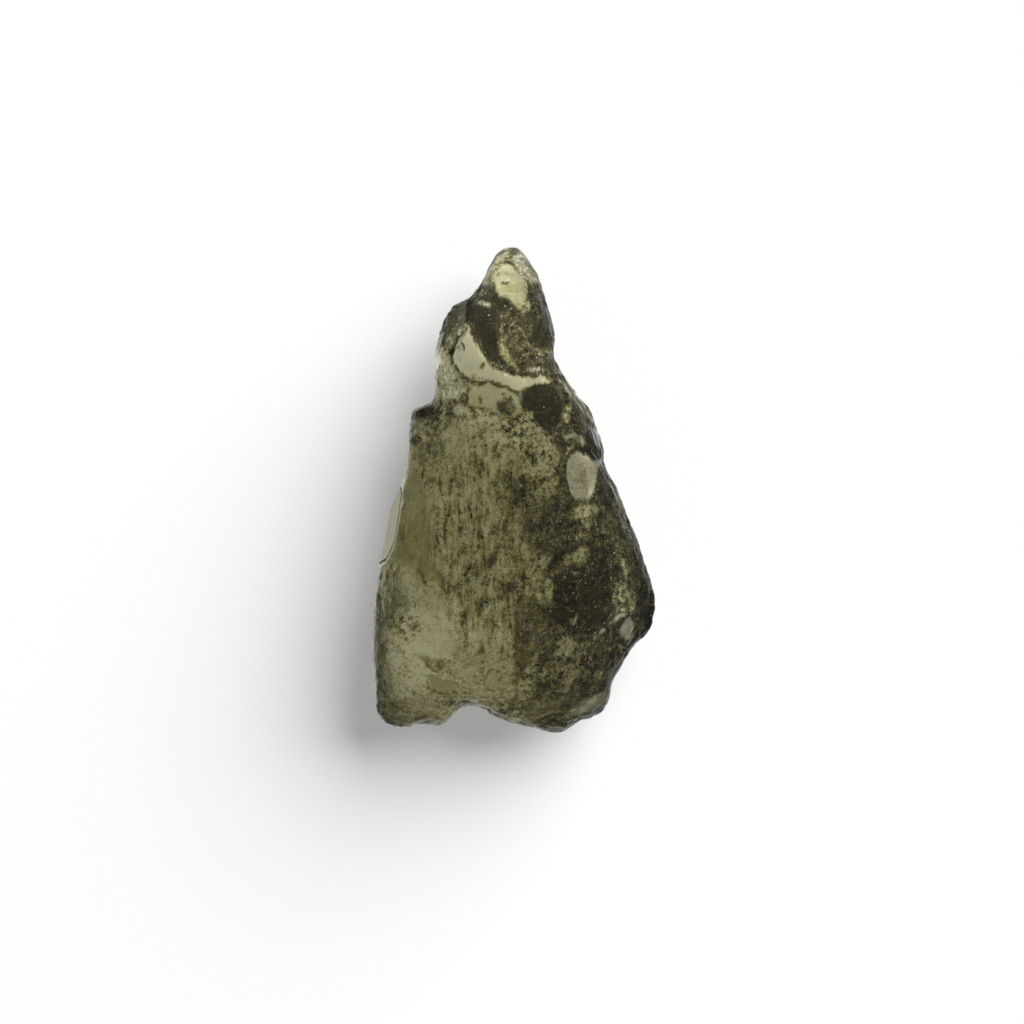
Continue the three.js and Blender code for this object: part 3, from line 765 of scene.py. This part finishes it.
    # Painted shade in the folds, the dark foot fold and the hole; painted light on the pale and white lines,
    # the ringed bead and the lines on the rim.
    lines: Sequence[Mark] = (
        Mark("fold", Trace(((1.4, -10.8), (1.8, -11.1), (2.3, -11.5), (3.2, -11.7)), 0.14), Tone.BLACK,
             edge=0.16, sink=0.1),
        Mark("foot fold", Trace(((1.6, -13.5), (2.2, -13.2), (3.2, -13.4)), 0.14), Tone.BLACK, edge=0.2,
             sink=0.1),
        Mark("pale foot fold", Trace(((1.3, -12.9), (2.1, -12.6), (3.6, -12.6)), 0.12), Tone.PALE,
             Surface.SMOOTH, 0.14),
        Mark("dark foot fold", Trace(((1.4, -13.1), (2.1, -12.8), (2.9, -12.7)), 0.12), Tone.BLACK,
             edge=0.16, sink=0.06),
        Mark("hole", Oval((3.1, -9.6), (0.16, 0.12)), Tone.BLACK, Surface.SMOOTH, 0.1, sink=0.1),
        Mark("arc under the windows", Trace(((5.4, -9.1), (5.7, -8.9), (6.0, -9.0), (6.1, -9.3)), 0.08),
             Tone.PALE, Surface.MATT, 0.1),
        Mark("hooked line", Trace(((4.3, -9.4), (4.4, -9.9), (4.6, -10.1)), 0.08), Tone.PALE, Surface.MATT,
             0.1),
        Mark("pale streak", Trace(((4.9, -8.0), (5.2, -7.9)), 0.1), Tone.PALE, Surface.FROSTED, 0.1),
        Mark("ringed bead", Trace(((3.1, -7.3), (3.2, -7.5), (3.4, -7.5), (3.5, -7.1)), 0.08), Tone.CLEAR,
             Surface.FROSTED, 0.1),
        Mark("slanting line", Trace(((2.9, 2.9), (3.4, 3.1)), 0.1), Tone.PALE, Surface.FROSTED, 0.12,
             weight=0.8),
        Mark("line by the chip", Trace(((2.9, 2.0), (3.4, 2.4)), 0.1), Tone.PALE, Surface.MATT, 0.12,
             weight=0.8),
        Mark("white by the facet", Oval((3.8, 2.8), (0.12, 0.22), 20), Tone.CLEAR, Surface.FROSTED, 0.12),
        Mark("edge of the facet", Trace(((5.1, 2.6), (5.2, 1.9), (5.0, 1.6)), 0.08), Tone.PALE,
             Surface.FROSTED, 0.12),
        Mark("line on the rim", Trace(((2.6, 6.9), (3.1, 6.0), (3.8, 5.0), (4.4, 3.9)), 0.12), Tone.CLEAR,
             Surface.POLISHED, 0.1),
        Mark("inner line on the rim", Trace(((2.5, 6.4), (3.3, 5.2), (3.9, 4.4)), 0.1), Tone.PALE,
             Surface.MATT, 0.1),
        Mark("line along the rim", Trace(((5.4, 0.4), (5.8, -0.4), (6.4, -1.9)), 0.1), Tone.PALE,
             Surface.SMOOTH, 0.1, weight=0.8),
    )

    def marks(self) -> list[Mark]:
        """Its marks, in the order in which they are laid."""
        return [*self.ground, *self.patches, *self.windows, *self.lines]


@dataclass(frozen=True)
class Relief:
    """The fine relief that the soil etched into the whole stone.

    Args:
        pit_depth: How deep the larger pits are.
        small_pit_depth: How deep the small pits are.
        grain_depth: How high the finest grain stands.
        groove_depth: How deep the flow grooves down the main face are.
        bead_height: How high the beads of the rind stand.
        rim_calm: How much of its pits and grooves the outermost edge loses, to keep the outline as it is.
        pit_size: How far apart the larger pits lie, and their radius as a share of that.
        small_pit_size: The same of the small pits.
        bead_size: The same of the beads.
        grain_sizes: The sizes of the coarser and the finer grain.
        polished_grain: How much of the grain is left on polished skin.
        groove_size: How wide and how long a groove is.
        groove_face: Where the grooves run.
        groove_fade: How far they take to fade out at its edge.
    """

    pit_depth: float = 0.11
    small_pit_depth: float = 0.06
    grain_depth: float = 0.035
    groove_depth: float = 0.08
    bead_height: float = 0.12
    rim_calm: float = 0.8
    pit_size: Point = (1.1, 0.62)
    small_pit_size: Point = (0.5, 0.6)
    bead_size: Point = (0.42, 0.7)
    grain_sizes: Point = (0.42, 0.21)
    polished_grain: float = 0.15
    groove_size: Point = (0.34, 1.5)
    groove_face: Oval = Oval((-1.8, -3.2), (2.9, 6.2), 4)
    groove_fade: float = 2.4

    def lift(self, skin: Skin) -> np.ndarray:
        """How far each vertex moves out along its normal.

        Args:
            skin: The skin with all its marks.

        Returns:
            Millimetres, one number for each vertex.
        """
        places = skin.places
        etched = 1 - skin.polish
        lift = -self.pit_depth * pits(places, *self.pit_size) * etched
        lift -= self.small_pit_depth * pits(places, *self.small_pit_size, 3.1) * etched
        lift -= self.groove_depth * self.grooves(places) * skin.upper * etched
        sideways = np.hypot(skin.outward[:, 0], skin.outward[:, 1])
        lift *= 1 - self.rim_calm * sideways**6
        coarse, fine = self.grain_sizes
        grain = swirl(places, coarse, 5.3) + 0.5 * swirl(places, fine, 8.9)
        rough = self.polished_grain + (1 - self.polished_grain) * etched
        lift += self.grain_depth * grain * rough * (1 + sideways**6)
        return lift + self.bead_height * pits(places, *self.bead_size, 6.6) * skin.beads * skin.upper

    def grooved(self, places: np.ndarray) -> np.ndarray:
        """How far each place is in the grooved part of the main face, from 0 to 1."""
        return smooth(0.5 + self.groove_face.inside(places) / self.groove_fade)

    def grooves(self, places: np.ndarray) -> np.ndarray:
        """The long flow grooves.

        Args:
            places: Points in millimetres, one row each.

        Returns:
            How deep each place lies in them, from 0 to 1.
        """
        width, length = self.groove_size
        drawn = places * np.array([1 / width, 1 / length, 1 / length])
        drawn[:, 0] += 0.9 * swirl(places, 1.6, 1.7)
        ridged = 1 - np.abs(swirl(drawn, 1.0, 4.4)) * 2.2
        return np.clip(ridged, 0, 1) ** 2 * self.grooved(places)


class Graph:
    """The node tree of a material, with short ways to add to it."""

    def __init__(self, name: str) -> None:
        """Starts a material with its usual shader.

        Args:
            name: The material's name.
        """
        self.material = bpy.data.materials.new(name)
        self.material.use_nodes = True
        self.nodes = self.material.node_tree.nodes
        self.links = self.material.node_tree.links
        self.shader = self.nodes["Principled BSDF"]
        self.output = self.nodes["Material Output"]

    def add(self, kind: str, settings: dict[str, object] | None = None, **sockets: object) -> bpy.types.Node:
        """Adds a node.

        Args:
            kind: The node's type, without its ShaderNode.
            settings: Its own settings, by name.
            sockets: What its inputs are given: a value, or another node's output. An underscore is a space.

        Returns:
            The new node.
        """
        node = self.nodes.new("ShaderNode" + kind)
        for name, value in (settings or {}).items():
            setattr(node, name, value)
        for name, value in sockets.items():
            self.feed(node.inputs[name.replace("_", " ")], value)
        return node

    def feed(self, socket: bpy.types.NodeSocket, value: object) -> None:
        """Fills an input.

        Args:
            socket: The input.
            value: A value, or another node's output.
        """
        if isinstance(value, bpy.types.NodeSocket):
            self.links.new(value, socket)
        else:
            socket.default_value = value

    def sum(self, operation: str, *values: object) -> bpy.types.NodeSocket:
        """Adds a sum on two or three values.

        Args:
            operation: What is done with them.
            values: Values or other nodes' outputs.

        Returns:
            The outcome.
        """
        node = self.add("Math", {"operation": operation})
        for socket, value in zip(node.inputs, values):
            self.feed(socket, value)
        return node.outputs[0]

    def range(self, value: object, start: Point, end: Point) -> bpy.types.NodeSocket:
        """Moves a value from one range to another, and holds it there.

        Args:
            value: The value.
            start: The range that it comes from.
            end: The range that it goes to.

        Returns:
            The value in its new range.
        """
        low, high = start
        first, last = end
        node = self.add("MapRange", Value=value, From_Min=low, From_Max=high, To_Min=first, To_Max=last)
        return node.outputs["Result"]

    def blend(self, share: object, first: object, second: object) -> bpy.types.NodeSocket:
        """Mixes two colours.

        Args:
            share: The second one's share, from 0 to 1.
            first: The first colour.
            second: The second colour.

        Returns:
            A colour between the two.
        """
        node = self.add("Mix", {"data_type": "RGBA"})
        self.feed(node.inputs[0], share)
        self.feed(node.inputs[6], first)
        self.feed(node.inputs[7], second)
        return node.outputs[2]

    def noise(
        self,
        place: bpy.types.NodeSocket,
        scale: float,
        detail: float = 2.0,
        rough: float = 0.5,
        bent: float = 0.0,
    ) -> bpy.types.NodeSocket:
        """Noise from 0 to 1 round a middle of a half.

        Args:
            place: Where it is read.
            scale: How many lumps there are to a unit.
            detail: How many finer layers it has.
            rough: How strong the finer layers are.
            bent: How far its lumps are bent.

        Returns:
            The noise.
        """
        node = self.add("TexNoise", Vector=place, Scale=scale, Detail=detail, Roughness=rough)
        node.inputs["Distortion"].default_value = bent
        return node.outputs["Fac"]

    def swing(self, value: object, spread: float, most: float) -> bpy.types.NodeSocket:
        """Noise made to swing as far as most on either side of 0, and held there."""
        return self.range(value, (0.5 - spread, 0.5 + spread), (-most, most))

    def attribute(self, name: str) -> bpy.types.NodeSocket:
        """A number that the mesh holds at each vertex."""
        return self.add("Attribute", {"attribute_name": name}).outputs["Fac"]

    def ramp(self, value: object, stops: Sequence[tuple[float, Colour]]) -> bpy.types.NodeSocket:
        """Picks a colour by a value.

        Args:
            value: The value, from 0 to 1.
            stops: Where each colour stands, in order.

        Returns:
            The colour.
        """
        node = self.add("ValToRGB", Fac=value)
        elements = node.color_ramp.elements
        while len(elements) < len(stops):
            elements.new(1.0)
        for element, (position, colour) in zip(elements, stops):
            element.position = position
            element.color = colour
        return node.outputs["Color"]


@dataclass(frozen=True)
class MoldaviteGlass:
    """The finish of the stone: see-through olive glass under a thin etched skin.

    Args:
        absorbed: The colour that the glass leaves in white light, over the length that density gives.
        density: How strongly the glass absorbs, per metre.
        bend: The index of refraction.
        clear: The share of light that the skin lets through, the rest being scattered back.
        stops: The skin's colours, from the blackest painted shade to where it is clear.
        frost_sheen_colour: The colour of frosty skin, painted sheen and painted sparkles.
        draw: How the streaks' pattern is squeezed in x, y and z.
        mottle_scale: How many lumps the mottle has to a millimetre.
        grain_scale: The same of the grain.
        patch_scale: The same of the patches in which flecks gather.
        fleck_scale: The same of the flecks.
        smear_scale: The same of the smears.
        bead_scale: The same of the beads.
        sparkle_scale: The same of the sparkles.
        skin_roughness: How rough the etched skin is, in the dips of the mottle and on its lumps.
        frost_roughness: What frosty skin adds to that.
        polish_roughness: How rough polished skin is.
        bump: How deep the finest relief is, in millimetres.
    """

    absorbed: Colour = (0.66, 0.64, 0.3, 1.0)
    density: float = 95.0
    bend: float = 1.49
    clear: float = 0.97
    stops: Sequence[tuple[float, Colour]] = (
        (0.0, (0.0004, 0.0004, 0.0004, 1.0)),
        (0.15, (0.020, 0.017, 0.009, 1.0)),
        (0.3, (0.095, 0.083, 0.034, 1.0)),
        (0.45, (0.25, 0.232, 0.098, 1.0)),
        (0.7, (0.60, 0.575, 0.29, 1.0)),
        (1.0, (1.0, 0.985, 0.76, 1.0)),
    )
    frost_sheen_colour: Colour = (0.93, 0.92, 0.88, 1.0)
    draw: tuple[float, float, float] = (4.0, 0.8, 0.9)
    mottle_scale: float = 3.2
    grain_scale: float = 8.5
    patch_scale: float = 1.2
    fleck_scale: float = 8.0
    smear_scale: float = 1.7
    bead_scale: float = 2.6
    sparkle_scale: float = 5.5
    skin_roughness: Point = (0.34, 0.2)
    frost_roughness: float = 0.2
    polish_roughness: float = 0.05
    bump: float = 0.08

    def material(self) -> bpy.types.Material:
        """Makes the material, with its patterns.

        Returns:
            The material.
        """
        graph = Graph("moldavite_glass")
        scaled = graph.add("VectorMath", {"operation": "SCALE"}, Scale=1 / MM)
        graph.feed(scaled.inputs[0], graph.add("TexCoord").outputs["Object"])
        mm = scaled.outputs["Vector"]
        drawn = graph.add("VectorMath", {"operation": "MULTIPLY"})
        graph.feed(drawn.inputs[0], mm)
        graph.feed(drawn.inputs[1], self.draw)
        etched = graph.sum("SUBTRACT", 1.0, graph.attribute("polish"))
        mottle = graph.noise(mm, self.mottle_scale, 4.0, 0.65)
        grain = graph.noise(mm, self.grain_scale, 2.0, 0.6)
        streaks = graph.noise(drawn.outputs["Vector"], 1.0, 3.0, 0.6, 0.5)
        self.colour(graph, mm, etched, mottle, grain, streaks)
        skin = graph.sum("MULTIPLY", etched, graph.range(mottle, (0.42, 0.6), self.skin_roughness))
        frost_and_sheen = graph.attribute("frost_and_sheen")
        frosted = graph.sum("MULTIPLY_ADD", frost_and_sheen, self.frost_roughness, self.polish_roughness)
        graph.feed(graph.shader.inputs["Roughness"], graph.sum("ADD", skin, frosted))
        ridges = graph.sum("MULTIPLY", streaks, graph.attribute("streaks"))
        height = graph.sum("ADD", graph.sum("ADD", mottle, ridges), graph.sum("MULTIPLY", grain, 0.5))
        strength = graph.range(etched, (0.0, 1.0), (0.05, 1.0))
        bump = graph.add("Bump", Strength=strength, Distance=self.bump * MM, Height=height)
        graph.feed(graph.shader.inputs["Normal"], bump.outputs["Normal"])
        graph.shader.inputs["Transmission Weight"].default_value = self.clear
        graph.shader.inputs["IOR"].default_value = self.bend
        inside = graph.add("VolumeAbsorption", Color=self.absorbed, Density=self.density)
        graph.links.new(inside.outputs["Volume"], graph.output.inputs["Volume"])
        return graph.material

    def colour(
        self,
        graph: Graph,
        mm: bpy.types.NodeSocket,
        etched: bpy.types.NodeSocket,
        mottle: bpy.types.NodeSocket,
        grain: bpy.types.NodeSocket,
        streaks: bpy.types.NodeSocket,
    ) -> None:
        """Gives the shader the skin's colour: its tone, mostly painted shade and light, mottled and
        streaked, with frosty skin, painted sheen and painted sparkles.

        Args:
            graph: The material's graph.
            mm: The place, in millimetres.
            etched: The share of etching, 0 where the glass is polished.
            mottle: Noise in lumps of about a third of a millimetre.
            grain: Noise in lumps of about a tenth of a millimetre.
            streaks: Noise drawn out along the stone.
        """
        patches = graph.noise(mm, self.patch_scale, 3.0, 0.6)
        blotches = graph.swing(patches, 0.1, 0.3)
        # Painted shade and light: the tone swings with the mottle, grain and streaks that also raise the
        # bump.
        calm = graph.range(graph.attribute("streaks"), (0.0, 1.0), (0.6, 0.3))
        swings = graph.sum("MULTIPLY", graph.swing(mottle, 0.1, 1.0), calm)
        swings = graph.sum("MULTIPLY", graph.sum("ADD", swings, blotches), etched)
        roughened = graph.range(etched, (0.05, 0.6), (0.05, 1.0))
        fine = graph.sum("MULTIPLY", graph.swing(grain, 0.13, 0.35), roughened)
        swings = graph.sum("ADD", swings, fine)
        lines = graph.sum("MULTIPLY", graph.swing(streaks, 0.12, 0.48), graph.attribute("streaks"))
        swings = graph.sum("ADD", graph.sum("ADD", swings, lines), 1.0)
        tone = graph.sum("MULTIPLY", graph.attribute("tone"), swings)
        # Painted sparkles: bright flecks in patches over the etched skin, standing for glints.
        flecks = graph.range(graph.noise(mm, self.fleck_scale, 2.0, 0.6), (0.56, 0.66), (0.0, 0.5))
        flecks = graph.sum("MULTIPLY", flecks, graph.range(patches, (0.44, 0.58), (0.1, 1.0)))
        smears = graph.range(graph.noise(mm, self.smear_scale, 4.0, 0.65), (0.57, 0.66), (0.0, 0.22))
        tone = graph.sum("ADD", tone, graph.sum("MULTIPLY", graph.sum("ADD", flecks, smears), etched))
        # Painted shade: dark lines in the gaps between the beads.
        edges = graph.add("TexVoronoi", {"feature": "DISTANCE_TO_EDGE"}, Vector=mm, Scale=self.bead_scale)
        bead_gap_shade = graph.range(edges.outputs["Distance"], (0.02, 0.14), (0.7, 0.0))
        bead_gap_shade = graph.sum("MULTIPLY", bead_gap_shade, graph.attribute("beads"))
        tone = graph.sum("MULTIPLY", tone, graph.sum("SUBTRACT", 1.0, bead_gap_shade))
        # Frosty skin with painted sheen, and painted sparkles, whiten the colour.
        frost_and_sheen = graph.sum("MULTIPLY", graph.attribute("frost_and_sheen"), graph.range(grain, (0.35, 0.62), (0.3, 1.0)))
        white = graph.sum("MAXIMUM", frost_and_sheen, self.sparkles(graph, mm))
        painted = graph.blend(white, graph.ramp(tone, self.stops), self.frost_sheen_colour)
        graph.feed(graph.shader.inputs["Base Color"], painted)

    def sparkles(self, graph: Graph, mm: bpy.types.NodeSocket) -> bpy.types.NodeSocket:
        """Painted sparkles: small white specks that stand for glints, more of them where painted_glints is
        strong.

        Args:
            graph: The material's graph.
            mm: The place, in millimetres.

        Returns:
            How white each place is, from 0 to 1.
        """
        cells = graph.add("TexVoronoi", Vector=mm, Scale=self.sparkle_scale).outputs
        near = graph.range(cells["Distance"], (0.12, 0.3), (1.0, 0.0))
        draw = graph.add("SeparateColor", Color=cells["Color"]).outputs["Red"]
        chosen = graph.sum("GREATER_THAN", draw, graph.sum("SUBTRACT", 1.0, graph.attribute("painted_glints")))
        return graph.sum("MULTIPLY", near, chosen)


@dataclass
class Stone:
    """The stone: the frame's solid with its fine relief and its skin.

    Args:
        name: The piece's name.
        cuts: How many times each of the solid's triangles is divided.
        easing: How far each cut pulls the vertices towards their neighbours.
        ragged: How far the marks' edges wander.
        wander_sizes: The sizes of the coarser and the finer wander.
        lip_share: How thin the clear lip on the left is, as a share of the body there.
        lip_level: How high over the surface it lies.
        lip_edge: How wide the step down to it is.
        glass: The finish.
        relief: The fine relief.
    """

    name: str = "moldavite_glass_body"
    cuts: int = 2
    easing: float = 0.35
    ragged: float = 0.12
    wander_sizes: Point = (0.9, 0.4)
    lip_share: float = 0.02
    lip_level: float = 4.7
    lip_edge: float = 0.2
    glass: MoldaviteGlass = field(default_factory=MoldaviteGlass)
    relief: Relief = field(default_factory=Relief)

    def build(self, solid: bpy.types.Object) -> bpy.types.Object:
        """Makes the finished stone.

        Args:
            solid: The frame's own stone, whose mesh is copied.

        Returns:
            The new piece, in place.
        """
        mesh = self.fine_mesh(solid)
        places, outward = self.read(mesh)
        low, high = places.min(0), places.max(0)
        places = self.thin_lip(places)
        skin = Skin(places, outward)
        shifted = places.copy()
        coarse, fine = self.wander_sizes
        for axis, salt in ((0, 2.3), (1, 7.7)):
            wander = swirl(places, coarse, salt) + 0.6 * swirl(places, fine, salt + 1)
            shifted[:, axis] += self.ragged * wander
        for region in (MainFace(), DarkFlank(), Shoulder(), Spire()):
            marks = region.marks()
            for mark in marks:
                LOG.debug("laying %s", mark.name)
                skin.lay(mark, shifted)
            LOG.info("%s: %d marks", type(region).__name__, len(marks))
        skin.outline()
        skin.streaks = self.relief.grooved(places) * skin.upper
        skin.lift += self.relief.lift(skin)
        moved = np.clip(places + outward * skin.lift[:, None], low, high)
        mesh.vertices.foreach_set("co", (moved * MM).astype(np.float32).ravel())
        for name in ("tone", "polish", "frost_and_sheen", "beads", "painted_glints", "streaks"):
            self.keep(mesh, name, getattr(skin, name))
        mesh.update()
        mesh.materials.clear()
        mesh.materials.append(self.glass.material())
        piece = bpy.data.objects.new(self.name, mesh)
        bpy.context.scene.collection.objects.link(piece)
        return piece

    def fine_mesh(self, solid: bpy.types.Object) -> bpy.types.Mesh:
        """Makes the fine mesh.

        Args:
            solid: The frame's own stone.

        Returns:
            A merged copy of its mesh, divided and smoothed.
        """
        mesh = bpy.data.meshes.new(self.name)
        form = bmesh.new()
        form.from_mesh(solid.data)
        bmesh.ops.remove_doubles(form, verts=form.verts, dist=0.002 * MM)
        for _ in range(self.cuts):
            bmesh.ops.subdivide_edges(form, edges=form.edges, cuts=1, use_grid_fill=True)
            bmesh.ops.smooth_vert(
                form, verts=form.verts, factor=self.easing, use_axis_x=True, use_axis_y=True, use_axis_z=True
            )
        for face in form.faces:
            face.smooth = True
        form.to_mesh(mesh)
        form.free()
        return mesh

    def read(self, mesh: bpy.types.Mesh) -> tuple[np.ndarray, np.ndarray]:
        """Reads a mesh.

        Args:
            mesh: The mesh.

        Returns:
            Its vertices in millimetres, and the way out of the stone at each.
        """
        count = len(mesh.vertices)
        places = np.empty(count * 3, np.float32)
        mesh.vertices.foreach_get("co", places)
        outward = np.empty(count * 3, np.float32)
        mesh.vertex_normals.foreach_get("vector", outward)
        return places.reshape(-1, 3).astype(float) / MM, outward.reshape(-1, 3).astype(float)

    def thin_lip(self, places: np.ndarray) -> np.ndarray:
        """Presses the left lip thin.

        Args:
            places: The vertices in millimetres, one row each.

        Returns:
            The vertices with the lip pressed.
        """
        share = smooth(0.5 + Outline(LIP).inside(places) / self.lip_edge)
        thinned = places.copy()
        thinned[:, 2] += (self.lip_level - places[:, 2]) * (1 - self.lip_share) * share
        return thinned

    def keep(self, mesh: bpy.types.Mesh, name: str, values: np.ndarray) -> None:
        """Stores a number at each vertex, for the finish to read."""
        held = mesh.attributes.new(name, "FLOAT", "POINT")
        held.data.foreach_set("value", values.astype(np.float32))


@dataclass(frozen=True)
class Lamp:
    """A far light.

    Args:
        name: Its name.
        azimuth: Where it stands, in degrees to the left from +X.
        height: How high it stands, in degrees.
        spread: How wide it looks from the stone, in degrees.
        strength: How strong it is, in watts a square metre.
        on_glass: Whether it gives the glass highlights.
        on_table: Whether it lights the table.
    """

    name: str
    azimuth: float
    height: float
    spread: float
    strength: float
    on_glass: bool = False
    on_table: bool = True

    def build(self) -> None:
        """Places the light."""
        lamp = bpy.data.lights.new(self.name, "SUN")
        lamp.angle = math.radians(self.spread)
        lamp.energy = self.strength
        light = bpy.data.objects.new(self.name, lamp)
        turn, rise = math.radians(self.azimuth), math.radians(self.height)
        away = Vector((math.cos(turn) * math.cos(rise), math.sin(turn) * math.cos(rise), math.sin(rise)))
        light.rotation_euler = away.to_track_quat("Z", "Y").to_euler()
        light.visible_glossy = self.on_glass
        light.visible_transmission = self.on_glass
        light.visible_diffuse = self.on_table
        bpy.context.scene.collection.objects.link(light)


@dataclass(frozen=True)
class Studio:
    """The pale surface, the soft light from the upper right and the camera straight above.

    Args:
        floor_size: How wide the surface is, in metres.
        floor_gap: How far under the stone it lies, because the stone touches it at a few points only.
        floor_glow: How bright the lit table is in shadow.
        floor_tone: How much light it sends back.
        lens: The camera's focal length in millimetres.
        sensor: The camera's sensor width in millimetres.
        frame_side: How many pixels the picture has on a side.
        stone_rows: How many of them the stone spans.
        stone_middle: The pixel at the middle of the stone's box.
        rim_height: How high over the surface the stone's outline runs, in metres.
        near_limit: How near the camera starts to see, in metres.
        brightness: How bright the room is at each height, from 0 straight below to 1 overhead.
        wall_tone: How bright the camera sees the room.
        lamps: The lights.
    """

    floor_size: float = 6.0
    floor_gap: float = 0.06 * MM
    floor_glow: float = 0.29
    floor_tone: float = 0.62
    lens: float = 85.0
    sensor: float = 36.0
    frame_side: int = 1024
    stone_rows: float = 488.0
    stone_middle: Point = (514.5, 489.5)
    rim_height: float = 4.0 * MM
    near_limit: float = 0.01
    brightness: Sequence[Point] = ((0.0, 1.0), (0.1, 1.0), (0.16, 0.1), (0.5, 0.2), (0.9, 0.06))
    wall_tone: float = 0.97
    lamps: Sequence[Lamp] = (
        Lamp("key", azimuth=45.0, height=34.0, spread=56.0, strength=5.8),
        Lamp("fill", azimuth=100.0, height=80.0, spread=150.0, strength=0.1),
        Lamp("glint", azimuth=60.0, height=62.0, spread=5.0, strength=0.25, on_glass=True, on_table=False),
    )

    def floor(self) -> bpy.types.Object:
        """Makes the surface under the stone.

        Returns:
            The surface.
        """
        form = bmesh.new()
        bmesh.ops.create_grid(form, x_segments=1, y_segments=1, size=self.floor_size / 2)
        bmesh.ops.translate(form, verts=form.verts, vec=(0, 0, -self.floor_gap))
        mesh = bpy.data.meshes.new("pale_surface")
        form.to_mesh(mesh)
        form.free()
        graph = Graph("pale_surface")
        graph.shader.inputs["Base Color"].default_value = (*[self.floor_tone] * 3, 1)
        graph.shader.inputs["Emission Color"].default_value = (1, 1, 1, 1)
        graph.shader.inputs["Emission Strength"].default_value = self.floor_glow
        graph.shader.inputs["Roughness"].default_value = 1.0
        graph.shader.inputs["Specular IOR Level"].default_value = 0.0
        mesh.materials.append(graph.material)
        floor = bpy.data.objects.new("pale_surface", mesh)
        bpy.context.scene.collection.objects.link(floor)
        floor.visible_glossy = False
        floor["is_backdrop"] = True
        return floor

    def room(self) -> None:
        """Sets a room that is pale to the camera, dim round the stone and white below, like the table."""
        world = bpy.data.worlds.new("room")
        bpy.context.scene.world = world
        world.use_nodes = True
        nodes, links = world.node_tree.nodes, world.node_tree.links
        way = nodes.new("ShaderNodeTexCoord")
        split = nodes.new("ShaderNodeSeparateXYZ")
        height = nodes.new("ShaderNodeMapRange")
        height.inputs["From Min"].default_value = -1.0
        ramp = nodes.new("ShaderNodeValToRGB")
        elements = ramp.color_ramp.elements
        while len(elements) < len(self.brightness):
            elements.new(1.0)
        for element, (level, bright) in zip(elements, self.brightness):
            element.position = level
            element.color = (bright, bright, bright, 1)
        links.new(way.outputs["Generated"], split.inputs["Vector"])
        links.new(split.outputs["Z"], height.inputs["Value"])
        links.new(height.outputs["Result"], ramp.inputs["Fac"])
        links.new(ramp.outputs["Color"], nodes["Background"].inputs["Color"])
        wall = nodes.new("ShaderNodeBackground")
        wall.inputs["Color"].default_value = (*[self.wall_tone] * 3, 1)
        ray = nodes.new("ShaderNodeLightPath")
        seen = nodes.new("ShaderNodeMixShader")
        links.new(ray.outputs["Is Camera Ray"], seen.inputs[0])
        links.new(nodes["Background"].outputs[0], seen.inputs[1])
        links.new(wall.outputs[0], seen.inputs[2])
        links.new(seen.outputs[0], nodes["World Output"].inputs["Surface"])

    def camera(self, length: float) -> bpy.types.Object:
        """Places the camera straight above, framed as the photograph is.

        Args:
            length: The stone's length, in metres.

        Returns:
            The camera, set as the scene's own.
        """
        pixel = length / self.stone_rows
        middle = self.frame_side / 2
        lens = bpy.data.cameras.new("camera")
        lens.lens = self.lens
        lens.sensor_width = self.sensor
        lens.clip_start = self.near_limit
        camera = bpy.data.objects.new("camera", lens)
        camera.location = (
            (middle - self.stone_middle[0]) * pixel,
            (self.stone_middle[1] - middle) * pixel,
            self.frame_side * pixel * self.lens / self.sensor + self.rim_height,
        )
        bpy.context.scene.collection.objects.link(camera)
        bpy.context.scene.camera = camera
        return camera

    def build(self, length: float) -> None:
        """Sets up the surface, the lights and the camera.

        Args:
            length: The stone's length, in metres.
        """
        self.camera(length)
        self.floor()
        self.room()
        for lamp in self.lamps:
            lamp.build()
        bpy.context.scene.view_settings.view_transform = "Standard"


def main() -> None:
    """Builds the stone and its studio, and measures the scene's bounds before and after."""
    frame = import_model()
    low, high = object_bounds()
    piece = Stone().build(frame["nodes"]["moldavite"])
    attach(piece, "root")
    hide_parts("moldavite")
    LOG.info("%s: %d triangles", piece.name, len(piece.data.polygons))
    Studio().build(high.y - low.y)
    low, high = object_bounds()


if __name__ == "__main__":
    logging.basicConfig(level=logging.INFO)
    main()
